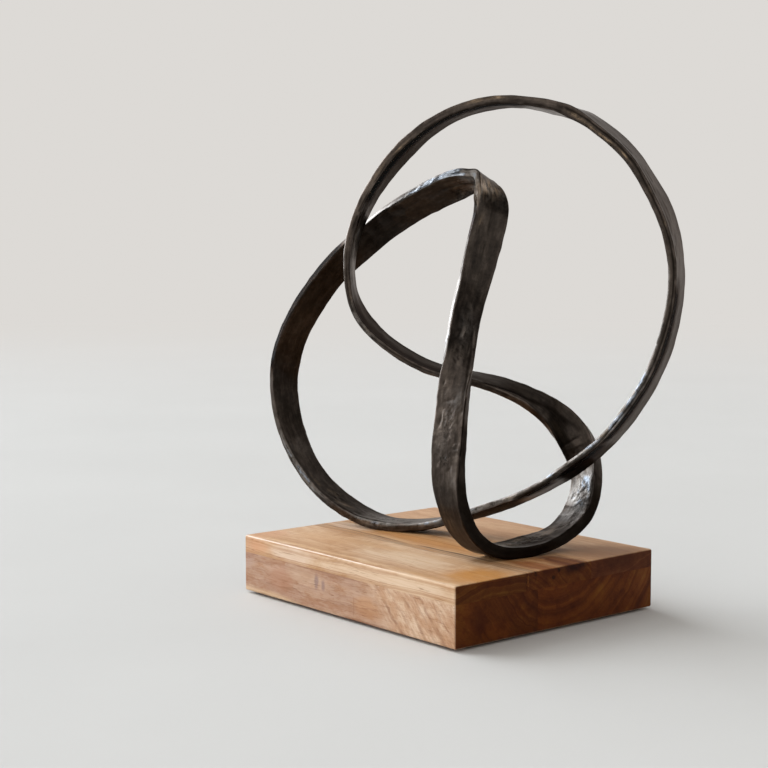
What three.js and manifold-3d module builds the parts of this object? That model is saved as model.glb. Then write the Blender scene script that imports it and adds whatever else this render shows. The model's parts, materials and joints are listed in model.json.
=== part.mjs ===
// Table sculpture: a closed loop of forged flat bar standing on a block of
// glued hardwood boards.  Millimetres, +Z up.  The origin is the centre of the
// block's footprint, on the table under the felt pads.  +X runs with the grain.
import * as THREE from 'three';
import { mergeVertices } from 'three/addons/utils/BufferGeometryUtils.js';
import Module from 'manifold-3d';

// ---- driving dimensions (mm) -------------------------------------------------
const BLOCK_X = 280;            // along the grain
const BLOCK_Y = 230;
const UPPER_T = 15;             // upper layer of boards
const LOWER_T = 35;             // lower layer of boards
const UPPER_JOINTS = [-38.3, 38.3];   // glue lines of the three upper boards
const LOWER_JOINTS = [-24.4];         // glue line of the two lower boards
const EDGE_R = 2.2;             // eased edge of the block
const GAP = 0.3;                // glue line, weld line and seat clearance

const PAD_R = 12;               // felt pads
const PAD_T = 2;
const PAD_X = 112;
const PAD_Y = 88;

const FOOT_1 = [83.3, -3.0];    // where the loop is screwed down, right foot
const FOOT_2 = [-74.4, 6.5];    // left foot
const SCREW_R = 3;              // M6 machine screw, 40 mm under the head
const SCREW_L = 40;
const HEAD_R = 5;
const HEAD_H = 6;
const HEX_AF = 5;
const HEX_DEPTH = 3;
const WASHER_R = 9;
const WASHER_HOLE_R = 3.3;
const WASHER_T = 1.6;
const BORE_R = 10;              // counterbore from beneath
const BORE_DEPTH = 18;
const HOLE_R = 3.5;             // through the boards
const TAP_R = 3.3;              // blind hole in the foot, round the screw
const TAP_CLEAR = 0.5;          // room past the screw's point

const CHAMFER = 1.3;            // worn edge of the bar
const STEPS = 5;                // rings for each station of the loop

// Levels
const BLOCK_Z0 = PAD_T + GAP;
const SEAM_Z = BLOCK_Z0 + LOWER_T;
const UPPER_Z0 = SEAM_Z + GAP;
const BLOCK_Z1 = UPPER_Z0 + UPPER_T;
const FLAT_Z = BLOCK_Z1 + GAP;  // the flats ground under the two feet
const BORE_Z = BLOCK_Z0 + BORE_DEPTH;
const WASHER_Z0 = BORE_Z - GAP - WASHER_T;
const HEAD_Z1 = WASHER_Z0 - GAP;
const HEAD_Z0 = HEAD_Z1 - HEAD_H;
const SCREW_Z1 = HEAD_Z1 + SCREW_L;

// The loop's stations: control points of a closed uniform cubic B-spline, in
// the order left foot, left arch, apex, upright, right foot, right loop,
// S-bend, ring, strand.  x, y, z of the bar's axis; the direction of its
// width; its width; its thickness.
const STATIONS = [
  [-75.1, 6.2, 56.0, 0.364, -0.932, 0.020, 27.6, 7.7],
  [-94.9, -1.2, 58.0, 0.342, -0.941, -0.026, 27.6, 7.8],
  [-116.8, -9.2, 65.6, 0.299, -0.944, -0.153, 27.4, 7.3],
  [-144.2, -20.3, 82.5, 0.262, -0.952, -0.147, 27.3, 7.3],
  [-164.8, -29.0, 107.5, 0.267, -0.964, -0.110, 27.1, 7.3],
  [-178.4, -35.7, 139.7, 0.008, -0.989, -0.176, 27.1, 7.1],
  [-182.5, -40.0, 173.3, -0.042, -1.002, -0.104, 27.1, 7.4],
  [-177.6, -41.3, 204.4, -0.302, -0.964, 0.082, 27.6, 7.6],
  [-164.5, -39.3, 234.0, -0.253, -0.926, 0.289, 27.4, 7.8],
  [-143.6, -33.8, 263.5, -0.170, -0.929, 0.327, 27.3, 7.9],
  [-121.5, -28.0, 288.5, -0.136, -0.917, 0.389, 26.8, 7.8],
  [-99.3, -22.0, 305.8, -0.210, -0.791, 0.591, 27.0, 7.9],
  [-75.6, -16.0, 322.5, -0.302, -0.686, 0.659, 26.2, 7.7],
  [-56.9, -11.6, 335.0, -0.232, -0.716, 0.674, 27.8, 8.1],
  [-32.0, -4.9, 348.6, -0.008, -0.820, 0.566, 27.8, 8.0],
  [0.4, 7.1, 363.8, -0.116, -0.650, 0.840, 28.3, 7.9],
  [23.3, 20.2, 371.5, 0.719, -0.908, 0.222, 28.8, 7.9],
  [40.8, 21.2, 352.0, -0.445, -1.027, -0.163, 29.7, 8.7],
  [28.3, 20.0, 314.9, -0.568, -0.757, 0.306, 29.3, 8.2],
  [22.9, 17.5, 291.7, -0.521, -0.837, 0.200, 28.9, 8.2],
  [19.9, 12.7, 271.1, -0.389, -0.871, 0.304, 27.1, 8.2],
  [19.7, 5.8, 251.6, -0.442, -0.849, 0.291, 27.2, 7.9],
  [23.6, -2.1, 232.8, -0.433, -0.861, 0.259, 25.9, 8.1],
  [31.2, -12.3, 213.7, -0.615, -0.778, 0.256, 26.1, 8.3],
  [41.6, -27.2, 193.5, -0.861, -0.559, -0.104, 27.1, 8.4],
  [54.0, -40.7, 172.8, -0.895, -0.348, -0.262, 26.7, 8.6],
  [65.1, -54.9, 146.7, -0.921, -0.409, -0.144, 27.9, 8.9],
  [72.8, -62.2, 113.0, -1.000, 0.050, -0.222, 28.0, 10.0],
  [77.3, -52.3, 79.0, -0.984, 0.169, -0.028, 28.7, 11.3],
  [80.6, -28.3, 59.9, -0.996, 0.094, -0.015, 28.9, 10.4],
  [83.2, -3.1, 56.7, -0.994, 0.120, -0.031, 29.5, 9.4],
  [86.4, 23.0, 59.6, -0.991, 0.100, 0.147, 30.2, 8.9],
  [89.6, 52.2, 64.2, -0.992, 0.116, -0.133, 29.5, 9.5],
  [89.6, 79.3, 80.7, -1.001, -0.046, -0.077, 30.2, 10.4],
  [84.9, 93.7, 108.4, -0.964, 0.134, -0.255, 29.6, 10.8],
  [77.4, 93.5, 132.9, -0.966, -0.245, -0.326, 28.4, 8.9],
  [68.8, 85.0, 152.3, -0.520, -0.669, -0.701, 27.0, 7.8],
  [57.6, 72.2, 168.9, 0.235, -0.816, -0.628, 25.9, 6.6],
  [42.9, 57.7, 181.6, 0.492, -0.785, -0.378, 26.4, 6.3],
  [20.7, 38.7, 192.5, 0.559, -0.788, -0.282, 26.7, 6.1],
  [-0.5, 21.5, 197.5, 0.627, -0.779, -0.081, 26.7, 6.0],
  [-24.9, 1.6, 203.4, 0.569, -0.802, -0.187, 27.0, 5.3],
  [-53.3, -22.9, 226.0, 0.592, -0.794, -0.140, 27.0, 5.1],
  [-68.3, -37.7, 247.3, 0.494, -0.854, -0.196, 27.2, 4.7],
  [-74.4, -45.2, 270.2, 0.666, -0.752, -0.034, 27.2, 5.6],
  [-74.8, -47.2, 294.5, 0.671, -0.740, -0.060, 27.3, 6.2],
  [-71.0, -45.3, 322.1, 0.538, -0.847, -0.001, 27.3, 5.9],
  [-59.1, -37.0, 356.6, 0.521, -0.855, 0.032, 27.3, 5.2],
  [-35.8, -20.9, 393.4, 0.410, -0.903, 0.151, 27.4, 6.7],
  [-2.6, -0.2, 424.0, 0.499, -0.867, 0.050, 27.3, 5.9],
  [34.8, 21.5, 434.8, 0.477, -0.874, 0.098, 27.4, 7.1],
  [61.0, 35.6, 434.0, 0.469, -0.883, 0.040, 27.4, 7.3],
  [87.5, 49.3, 427.0, 0.501, -0.853, 0.196, 27.5, 8.0],
  [109.1, 60.0, 418.1, 0.409, -0.917, -0.093, 27.5, 7.9],
  [131.5, 70.8, 401.0, 0.366, -0.925, -0.082, 27.5, 8.0],
  [151.0, 80.7, 377.8, 0.427, -0.906, -0.032, 27.4, 7.6],
  [167.8, 89.6, 344.5, 0.298, -0.953, -0.093, 27.5, 7.3],
  [176.0, 94.7, 314.0, 0.414, -0.911, -0.027, 27.4, 7.7],
  [178.3, 96.9, 279.6, 0.436, -0.901, -0.030, 27.4, 7.7],
  [171.4, 94.6, 237.7, 0.317, -0.950, 0.001, 27.4, 7.1],
  [159.4, 90.3, 204.7, 0.339, -0.942, 0.003, 27.4, 7.3],
  [140.3, 83.2, 172.4, 0.235, -0.970, 0.074, 27.4, 6.7],
  [122.3, 76.9, 148.4, 0.255, -0.967, 0.070, 27.4, 6.5],
  [95.9, 67.6, 124.5, 0.156, -0.966, 0.225, 27.4, 5.8],
  [55.5, 54.0, 95.9, 0.276, -0.961, 0.079, 27.4, 5.5],
  [12.0, 39.5, 77.8, 0.222, -0.947, 0.259, 27.5, 6.0],
  [-22.1, 27.0, 64.4, 0.359, -0.942, 0.019, 27.5, 7.0],
  [-51.2, 15.7, 58.0, 0.373, -0.925, -0.051, 27.6, 7.1],
];
// Butt welds between the six lengths of bar, as station numbers.
const WELDS = { left: 2.6, shoulder: 18.2, upright: 26.2, loop: 33.9, ring: 52.9, strand: 64.7 };

// ---- materials -----------------------------------------------------------------
const mat = (color, roughness, metalness) =>
  new THREE.MeshStandardMaterial({ color, roughness, metalness });
const blackened = mat(0x2b2725, 0.45, 0.85);
const upperWood = mat(0xc48a55, 0.5, 0);
const lowerWood = mat(0xa9744f, 0.5, 0);
const felt = mat(0x2a2623, 0.95, 0);
const zinc = mat(0xb4b8bb, 0.35, 0.9);

// ---- solids --------------------------------------------------------------------
const wasm = await Module();
wasm.setup();

function solid(geometry) {
  const g = geometry.clone();
  for (const name of Object.keys(g.attributes)) if (name !== 'position') g.deleteAttribute(name);
  const m = mergeVertices(g, 1e-4);
  const tri = m.index.array;
  const keep = [];
  for (let i = 0; i < tri.length; i += 3) {
    if (tri[i] !== tri[i + 1] && tri[i + 1] !== tri[i + 2] && tri[i] !== tri[i + 2]) {
      keep.push(tri[i], tri[i + 1], tri[i + 2]);
    }
  }
  return new wasm.Manifold(new wasm.Mesh({
    numProp: 3,
    vertProperties: new Float32Array(m.attributes.position.array),
    triVerts: new Uint32Array(keep),
  }));
}

function geometryOf(manifold) {
  const m = manifold.getMesh();
  const g = new THREE.BufferGeometry();
  g.setAttribute('position', new THREE.BufferAttribute(new Float32Array(m.vertProperties), 3));
  g.setIndex(new THREE.BufferAttribute(new Uint32Array(m.triVerts), 1));
  return g;
}

const boxBetween = (x0, x1, y0, y1, z0, z1) =>
  new THREE.BoxGeometry(x1 - x0, y1 - y0, z1 - z0)
    .translate((x0 + x1) / 2, (y0 + y1) / 2, (z0 + z1) / 2);

// Upright cylinder from z0 to z1.
const rod = (x, y, r, z0, z1, sides = 24) =>
  new THREE.CylinderGeometry(r, r, z1 - z0, sides)
    .rotateX(Math.PI / 2)
    .translate(x, y, (z0 + z1) / 2);

// ---- the loop --------------------------------------------------------------------
const COUNT = STATIONS.length;

// Value and slope of the B-spline at station s.
function sample(s) {
  const k = Math.floor(s);
  const f = s - k;
  const b = [
    (1 - f) ** 3 / 6,
    (3 * f ** 3 - 6 * f ** 2 + 4) / 6,
    (-3 * f ** 3 + 3 * f ** 2 + 3 * f + 1) / 6,
    f ** 3 / 6,
  ];
  const d = [
    -((1 - f) ** 2) / 2,
    (3 * f ** 2 - 4 * f) / 2,
    (-3 * f ** 2 + 2 * f + 1) / 2,
    f ** 2 / 2,
  ];
  const value = new Array(8).fill(0);
  const slope = [0, 0, 0];
  for (let i = 0; i < 4; i += 1) {
    const q = STATIONS[(((k - 1 + i) % COUNT) + COUNT) % COUNT];
    for (let c = 0; c < 8; c += 1) value[c] += b[i] * q[c];
    for (let c = 0; c < 3; c += 1) slope[c] += d[i] * q[c];
  }
  const axis = new THREE.Vector3(...slope).normalize();
  const across = new THREE.Vector3(value[3], value[4], value[5]);
  across.addScaledVector(axis, -across.dot(axis)).normalize();
  return {
    point: new THREE.Vector3(value[0], value[1], value[2]),
    axis,
    across,
    normal: new THREE.Vector3().crossVectors(axis, across),
    width: value[6],
    thickness: value[7],
  };
}

// Section with worn corners, drawn on the unit square; 0.9 marks the start of
// the chamfer, which is then given its real size.
const SECTION = new THREE.Shape([
  [1, -0.9], [1, 0.9], [0.9, 1], [-0.9, 1], [-1, 0.9], [-1, -0.9], [-0.9, -1], [0.9, -1],
].map(([x, y]) => new THREE.Vector2(x, y)));
const edge = (u, half) => Math.sign(u) * (half - (Math.abs(u) < 0.95 ? CHAMFER : 0));

// One length of bar from station a to station b, stopped half a weld line short
// of each end.
function bar(a, b) {
  const trim = (s) => (GAP / 2) / new THREE.Vector3().subVectors(
    sample(s + 0.01).point, sample(s - 0.01).point,
  ).length() * 0.02;
  const s0 = a + trim(a);
  const s1 = b - trim(b);
  const steps = Math.max(2, Math.round((s1 - s0) * STEPS));
  const g = new THREE.ExtrudeGeometry(SECTION, { depth: 1, steps, bevelEnabled: false, curveSegments: 1 });
  const p = g.attributes.position;
  const cache = new Map();
  for (let i = 0; i < p.count; i += 1) {
    const ring = Math.round(p.getZ(i) * steps);
    if (!cache.has(ring)) cache.set(ring, sample(s0 + ((s1 - s0) * ring) / steps));
    const f = cache.get(ring);
    const v = f.point.clone()
      .addScaledVector(f.across, edge(p.getX(i), f.width / 2))
      .addScaledVector(f.normal, edge(p.getY(i), f.thickness / 2));
    p.setXYZ(i, v.x, v.y, v.z);
  }
  return g;
}

// A length that stands on the block: ground flat beneath and drilled for its screw.
function footBar(a, b, [x, y]) {
  return solid(bar(a, b))
    .subtract(solid(boxBetween(-300, 300, -300, 300, FLAT_Z - 40, FLAT_Z)))
    .subtract(solid(rod(x, y, TAP_R, FLAT_Z - 5, SCREW_Z1 + TAP_CLEAR)));
}

// ---- the block ---------------------------------------------------------------------
function roundedBlock() {
  const r = EDGE_R;
  const x = BLOCK_X / 2 - r;
  const y = BLOCK_Y / 2 - r;
  const s = new THREE.Shape();
  s.moveTo(-x + r, -y).lineTo(x - r, -y).absarc(x - r, -y + r, r, -Math.PI / 2, 0, false)
    .lineTo(x, y - r).absarc(x - r, y - r, r, 0, Math.PI / 2, false)
    .lineTo(-x + r, y).absarc(-x + r, y - r, r, Math.PI / 2, Math.PI, false)
    .lineTo(-x, -y + r).absarc(-x + r, -y + r, r, Math.PI, 1.5 * Math.PI, false);
  return new THREE.ExtrudeGeometry(s, {
    depth: BLOCK_Z1 - BLOCK_Z0 - 2 * r,
    bevelEnabled: true,
    bevelThickness: r,
    bevelSize: r,
    bevelSegments: 3,
    curveSegments: 3,
  }).translate(0, 0, BLOCK_Z0 + r);
}
const blockBody = solid(roundedBlock());
const drillings = [FOOT_1, FOOT_2].map(([x, y]) =>
  solid(rod(x, y, HOLE_R, BLOCK_Z0 - 5, BLOCK_Z1 + 5))
    .add(solid(rod(x, y, BORE_R, BLOCK_Z0 - 5, BORE_Z, 32))));

function board(y0, y1, z0, z1) {
  let b = blockBody.intersect(solid(boxBetween(-200, 200, y0, y1, z0, z1)));
  for (const d of drillings) b = b.subtract(d);
  return geometryOf(b);
}
const upperCuts = [-200, ...UPPER_JOINTS, 200];
const lowerCuts = [-200, ...LOWER_JOINTS, 200];
const boardIn = (cuts, i, z0, z1) => board(
  cuts[i] + (i > 0 ? GAP / 2 : 0),
  cuts[i + 1] - (i < cuts.length - 2 ? GAP / 2 : 0),
  z0,
  z1,
);

// ---- fixings -----------------------------------------------------------------------
function screw([x, y]) {
  const profile = [
    [0, HEAD_Z0], [HEAD_R - 0.6, HEAD_Z0], [HEAD_R, HEAD_Z0 + 0.6], [HEAD_R, HEAD_Z1],
    [SCREW_R, HEAD_Z1], [SCREW_R, SCREW_Z1 - 0.8], [SCREW_R - 0.8, SCREW_Z1], [0, SCREW_Z1],
  ].map(([r, z]) => new THREE.Vector2(r, z));
  const body = new THREE.LatheGeometry(profile, 24).rotateX(Math.PI / 2).translate(x, y, 0);
  const socket = rod(x, y, HEX_AF / Math.sqrt(3), HEAD_Z0 - 2, HEAD_Z0 + HEX_DEPTH, 6);
  return geometryOf(solid(body).subtract(solid(socket)));
}

function washer([x, y]) {
  return geometryOf(solid(rod(x, y, WASHER_R, WASHER_Z0, WASHER_Z0 + WASHER_T, 32))
    .subtract(solid(rod(x, y, WASHER_HOLE_R, WASHER_Z0 - 2, WASHER_Z0 + WASHER_T + 2))));
}

// ---- assembly ----------------------------------------------------------------------
const sculpture = new THREE.Group();
function place(parent, name, geometry, material) {
  geometry.computeVertexNormals();
  const mesh = new THREE.Mesh(geometry, material);
  mesh.name = name;
  parent.add(mesh);
  return mesh;
}

const loop = new THREE.Group();
sculpture.add(loop);
const W = WELDS;
place(loop, 'bar_left_foot', geometryOf(footBar(W.strand, W.left + COUNT, FOOT_2)), blackened);
place(loop, 'bar_left_arch', bar(W.left, W.shoulder), blackened);
place(loop, 'bar_upright', bar(W.shoulder, W.upright), blackened);
place(loop, 'bar_right_foot', geometryOf(footBar(W.upright, W.loop, FOOT_1)), blackened);
place(loop, 'bar_ring_left', bar(W.loop, W.ring), blackened);
place(loop, 'bar_ring_right', bar(W.ring, W.strand), blackened);

const block = new THREE.Group();
sculpture.add(block);
place(block, 'board_upper_front', boardIn(upperCuts, 0, UPPER_Z0, BLOCK_Z1 + 5), upperWood);
place(block, 'board_upper_middle', boardIn(upperCuts, 1, UPPER_Z0, BLOCK_Z1 + 5), upperWood);
place(block, 'board_upper_rear', boardIn(upperCuts, 2, UPPER_Z0, BLOCK_Z1 + 5), upperWood);
place(block, 'board_lower_front', boardIn(lowerCuts, 0, BLOCK_Z0 - 5, SEAM_Z), lowerWood);
place(block, 'board_lower_rear', boardIn(lowerCuts, 1, BLOCK_Z0 - 5, SEAM_Z), lowerWood);

const fixings = new THREE.Group();
sculpture.add(fixings);
[['right', FOOT_1], ['left', FOOT_2]].forEach(([side, at]) => {
  place(fixings, `screw_${side}`, screw(at), zinc);
  place(fixings, `washer_${side}`, washer(at), zinc);
});
[['front_left', -1, -1], ['front_right', 1, -1], ['rear_left', -1, 1], ['rear_right', 1, 1]]
  .forEach(([corner, sx, sy]) => {
    place(fixings, `pad_${corner}`, rod(sx * PAD_X, sy * PAD_Y, PAD_R, 0, PAD_T, 32), felt);
  });

export default sculpture;
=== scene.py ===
"""Looks of a sculpture: a closed loop of hammered dark metal bar on a laminated hardwood block."""

import json
import math

import bmesh
import bpy
import numpy as np
from mathutils import Euler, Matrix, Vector

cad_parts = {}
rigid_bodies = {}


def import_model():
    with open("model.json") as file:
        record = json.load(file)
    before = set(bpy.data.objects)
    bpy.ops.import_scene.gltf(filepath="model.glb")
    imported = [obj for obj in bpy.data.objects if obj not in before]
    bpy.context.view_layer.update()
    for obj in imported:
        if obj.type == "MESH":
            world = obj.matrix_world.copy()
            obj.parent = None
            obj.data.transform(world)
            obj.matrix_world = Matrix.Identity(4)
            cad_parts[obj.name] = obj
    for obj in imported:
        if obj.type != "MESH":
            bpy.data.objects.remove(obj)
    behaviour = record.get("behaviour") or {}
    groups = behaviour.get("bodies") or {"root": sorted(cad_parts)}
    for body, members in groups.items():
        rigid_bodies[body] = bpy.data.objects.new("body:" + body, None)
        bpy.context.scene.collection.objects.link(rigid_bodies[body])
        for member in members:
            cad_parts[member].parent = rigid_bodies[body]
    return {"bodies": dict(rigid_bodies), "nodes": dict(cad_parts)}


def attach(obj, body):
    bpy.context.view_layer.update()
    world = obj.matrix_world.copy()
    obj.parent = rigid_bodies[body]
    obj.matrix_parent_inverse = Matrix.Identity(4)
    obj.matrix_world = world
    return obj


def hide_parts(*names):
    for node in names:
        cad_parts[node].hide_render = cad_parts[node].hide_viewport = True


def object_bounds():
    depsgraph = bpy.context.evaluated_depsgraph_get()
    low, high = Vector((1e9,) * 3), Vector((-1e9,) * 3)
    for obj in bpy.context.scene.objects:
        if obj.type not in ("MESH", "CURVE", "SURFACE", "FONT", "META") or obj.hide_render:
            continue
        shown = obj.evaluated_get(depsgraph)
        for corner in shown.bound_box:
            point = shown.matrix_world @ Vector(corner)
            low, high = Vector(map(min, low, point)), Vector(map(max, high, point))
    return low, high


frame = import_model()
cad_low, cad_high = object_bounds()
ROOT = "root" if "root" in frame["bodies"] else sorted(frame["bodies"])[0]
MM = 0.001

# ---- sizes, in mm, as in the CAD source ------------------------------------------
BLOCK_X, BLOCK_Y = 280.0, 230.0
BLOCK_Z0, SEAM_Z, BLOCK_Z1 = 2.3, 37.45, 52.6
UPPER_JOINTS = (-38.3, 38.3)
LOWER_JOINTS = (-24.4,)
FOOT_RIGHT, FOOT_LEFT = (83.3, -3.0), (-74.4, 6.5)
BORE_R, BORE_Z, HOLE_R = 10.0, 20.3, 3.5

# The closed loop as cubic B-spline control values, one row a station:
# centre (x, y, z), width direction (x, y, z), width, thickness.
STATIONS = np.array([
    [-75.1, 6.2, 56.0, 0.364, -0.932, 0.020, 27.6, 7.7],
    [-94.9, -1.2, 58.0, 0.342, -0.941, -0.026, 27.6, 7.8],
    [-116.8, -9.2, 65.6, 0.299, -0.944, -0.153, 27.4, 7.3],
    [-144.2, -20.3, 82.5, 0.262, -0.952, -0.147, 27.3, 7.3],
    [-164.8, -29.0, 107.5, 0.267, -0.964, -0.110, 27.1, 7.3],
    [-178.4, -35.7, 139.7, 0.008, -0.989, -0.176, 27.1, 7.1],
    [-182.5, -40.0, 173.3, -0.042, -1.002, -0.104, 27.1, 7.4],
    [-177.6, -41.3, 204.4, -0.302, -0.964, 0.082, 27.6, 7.6],
    [-164.5, -39.3, 234.0, -0.253, -0.926, 0.289, 27.4, 7.8],
    [-143.6, -33.8, 263.5, -0.170, -0.929, 0.327, 27.3, 7.9],
    [-121.5, -28.0, 288.5, -0.136, -0.917, 0.389, 26.8, 7.8],
    [-99.3, -22.0, 305.8, -0.210, -0.791, 0.591, 27.0, 7.9],
    [-75.6, -16.0, 322.5, -0.302, -0.686, 0.659, 26.2, 7.7],
    [-56.9, -11.6, 335.0, -0.232, -0.716, 0.674, 27.8, 8.1],
    [-32.0, -4.9, 348.6, -0.008, -0.820, 0.566, 27.8, 8.0],
    [0.4, 7.1, 363.8, -0.116, -0.650, 0.840, 28.3, 7.9],
    [23.3, 20.2, 371.5, 0.719, -0.908, 0.222, 28.8, 7.9],
    [40.8, 21.2, 352.0, -0.445, -1.027, -0.163, 29.7, 8.7],
    [28.3, 20.0, 314.9, -0.568, -0.757, 0.306, 29.3, 8.2],
    [22.9, 17.5, 291.7, -0.521, -0.837, 0.200, 28.9, 8.2],
    [19.9, 12.7, 271.1, -0.389, -0.871, 0.304, 27.1, 8.2],
    [19.7, 5.8, 251.6, -0.442, -0.849, 0.291, 27.2, 7.9],
    [23.6, -2.1, 232.8, -0.433, -0.861, 0.259, 25.9, 8.1],
    [31.2, -12.3, 213.7, -0.615, -0.778, 0.256, 26.1, 8.3],
    [41.6, -27.2, 193.5, -0.861, -0.559, -0.104, 27.1, 8.4],
    [54.0, -40.7, 172.8, -0.895, -0.348, -0.262, 26.7, 8.6],
    [65.1, -54.9, 146.7, -0.921, -0.409, -0.144, 27.9, 8.9],
    [72.8, -62.2, 113.0, -1.000, 0.050, -0.222, 28.0, 10.0],
    [77.3, -52.3, 79.0, -0.984, 0.169, -0.028, 28.7, 11.3],
    [80.6, -28.3, 59.9, -0.996, 0.094, -0.015, 28.9, 10.4],
    [83.2, -3.1, 56.7, -0.994, 0.120, -0.031, 29.5, 9.4],
    [86.4, 23.0, 59.6, -0.991, 0.100, 0.147, 30.2, 8.9],
    [89.6, 52.2, 64.2, -0.992, 0.116, -0.133, 29.5, 9.5],
    [89.6, 79.3, 80.7, -1.001, -0.046, -0.077, 30.2, 10.4],
    [84.9, 93.7, 108.4, -0.964, 0.134, -0.255, 29.6, 10.8],
    [77.4, 93.5, 132.9, -0.966, -0.245, -0.326, 28.4, 8.9],
    [68.8, 85.0, 152.3, -0.520, -0.669, -0.701, 27.0, 7.8],
    [57.6, 72.2, 168.9, 0.235, -0.816, -0.628, 25.9, 6.6],
    [42.9, 57.7, 181.6, 0.492, -0.785, -0.378, 26.4, 6.3],
    [20.7, 38.7, 192.5, 0.559, -0.788, -0.282, 26.7, 6.1],
    [-0.5, 21.5, 197.5, 0.627, -0.779, -0.081, 26.7, 6.0],
    [-24.9, 1.6, 203.4, 0.569, -0.802, -0.187, 27.0, 5.3],
    [-53.3, -22.9, 226.0, 0.592, -0.794, -0.140, 27.0, 5.1],
    [-68.3, -37.7, 247.3, 0.494, -0.854, -0.196, 27.2, 4.7],
    [-74.4, -45.2, 270.2, 0.666, -0.752, -0.034, 27.2, 5.6],
    [-74.8, -47.2, 294.5, 0.671, -0.740, -0.060, 27.3, 6.2],
    [-71.0, -45.3, 322.1, 0.538, -0.847, -0.001, 27.3, 5.9],
    [-59.1, -37.0, 356.6, 0.521, -0.855, 0.032, 27.3, 5.2],
    [-35.8, -20.9, 393.4, 0.410, -0.903, 0.151, 27.4, 6.7],
    [-2.6, -0.2, 424.0, 0.499, -0.867, 0.050, 27.3, 5.9],
    [34.8, 21.5, 434.8, 0.477, -0.874, 0.098, 27.4, 7.1],
    [61.0, 35.6, 434.0, 0.469, -0.883, 0.040, 27.4, 7.3],
    [87.5, 49.3, 427.0, 0.501, -0.853, 0.196, 27.5, 8.0],
    [109.1, 60.0, 418.1, 0.409, -0.917, -0.093, 27.5, 7.9],
    [131.5, 70.8, 401.0, 0.366, -0.925, -0.082, 27.5, 8.0],
    [151.0, 80.7, 377.8, 0.427, -0.906, -0.032, 27.4, 7.6],
    [167.8, 89.6, 344.5, 0.298, -0.953, -0.093, 27.5, 7.3],
    [176.0, 94.7, 314.0, 0.414, -0.911, -0.027, 27.4, 7.7],
    [178.3, 96.9, 279.6, 0.436, -0.901, -0.030, 27.4, 7.7],
    [171.4, 94.6, 237.7, 0.317, -0.950, 0.001, 27.4, 7.1],
    [159.4, 90.3, 204.7, 0.339, -0.942, 0.003, 27.4, 7.3],
    [140.3, 83.2, 172.4, 0.235, -0.970, 0.074, 27.4, 6.7],
    [122.3, 76.9, 148.4, 0.255, -0.967, 0.070, 27.4, 6.5],
    [95.9, 67.6, 124.5, 0.156, -0.966, 0.225, 27.4, 5.8],
    [55.5, 54.0, 95.9, 0.276, -0.961, 0.079, 27.4, 5.5],
    [12.0, 39.5, 77.8, 0.222, -0.947, 0.259, 27.5, 6.0],
    [-22.1, 27.0, 64.4, 0.359, -0.942, 0.019, 27.5, 7.0],
    [-51.2, 15.7, 58.0, 0.373, -0.925, -0.051, 27.6, 7.1],
], float)
WELDS = {"left": 2.6, "shoulder": 18.2, "upright": 26.2, "loop": 33.9, "ring": 52.9, "strand": 64.7}
COUNT = len(STATIONS)
RINGS = 38          # rings of the fine mesh for each station

# ---- small numeric helpers ---------------------------------------------------------
def smooth(t):
    t = np.clip(t, 0.0, 1.0)
    return t * t * (3.0 - 2.0 * t)


def lattice_noise(u, v, nu, nv, seed):
    """Smooth value noise on a grid that repeats after nu cells along u, in -1..1."""
    g = np.random.RandomState(seed).rand(nu, nv) * 2.0 - 1.0
    u0, v0 = np.floor(u).astype(int), np.floor(v).astype(int)
    fu, fv = smooth(u - u0), smooth(v - v0)
    a, b = u0 % nu, (u0 + 1) % nu
    c, d = v0 % nv, (v0 + 1) % nv
    return (g[a, c] * (1 - fu) + g[b, c] * fu) * (1 - fv) + (g[a, d] * (1 - fu) + g[b, d] * fu) * fv


def spline(s):
    """Station values at s, for all s: position, slope, width direction, width, thickness."""
    k = np.floor(s).astype(int)
    f = (s - k)[:, None]
    b = [(1 - f) ** 3 / 6, (3 * f ** 3 - 6 * f ** 2 + 4) / 6, (-3 * f ** 3 + 3 * f ** 2 + 3 * f + 1) / 6, f ** 3 / 6]
    d = [-((1 - f) ** 2) / 2, (3 * f ** 2 - 4 * f) / 2, (-3 * f ** 2 + 2 * f + 1) / 2, f ** 2 / 2]
    q = [STATIONS[(k - 1 + i) % COUNT] for i in range(4)]
    value = sum(b[i] * q[i] for i in range(4))
    slope = sum(d[i] * q[i][:, :3] for i in range(4))
    return value, slope


NR = COUNT * RINGS
S = np.arange(NR) / RINGS
value, slope = spline(S)
P = value[:, :3]
T = slope / np.linalg.norm(slope, axis=1)[:, None]
W = value[:, 3:6] - (value[:, 3:6] * T).sum(1)[:, None] * T
W /= np.linalg.norm(W, axis=1)[:, None]
N = np.cross(T, W)
HW, HT = value[:, 6] / 2, value[:, 7] / 2
for station, reach, lift, thicker, wider in (
        (15.97, 1.20, 2.3, 0.0, 0.0),       # the crown of the fold stands a little proud
        (16.64, 0.75, -2.4, 1.0, 0.0), (16.10, 0.36, 2.3, 0.0, 0.0),      # and its shoulder is beaten down
        (52.7, 1.0, 1.6, 0.4, 0.0), (47.6, 2.6, 0.0, 1.1, 0.9), (55.4, 0.8, -0.6, 0.0, 0.0), (14.3, 2.0, 0.0, 1.3, 0.0), (52.6, 0.7, -1.0, 2.0, 0.0), (26.4, 3.0, 0.0, 0.0, 1.0), (35.5, 1.6, 0.0, 0.0, 2.0)):
    gap = np.abs((S - station + COUNT / 2) % COUNT - COUNT / 2)
    k = (0.5 + 0.5 * np.cos(np.pi * np.clip(gap / reach, 0, 1)))
    P = P - N * (k * lift)[:, None]
    HT = HT + k * thicker / 2
    HW = HW + k * wider / 2
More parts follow.
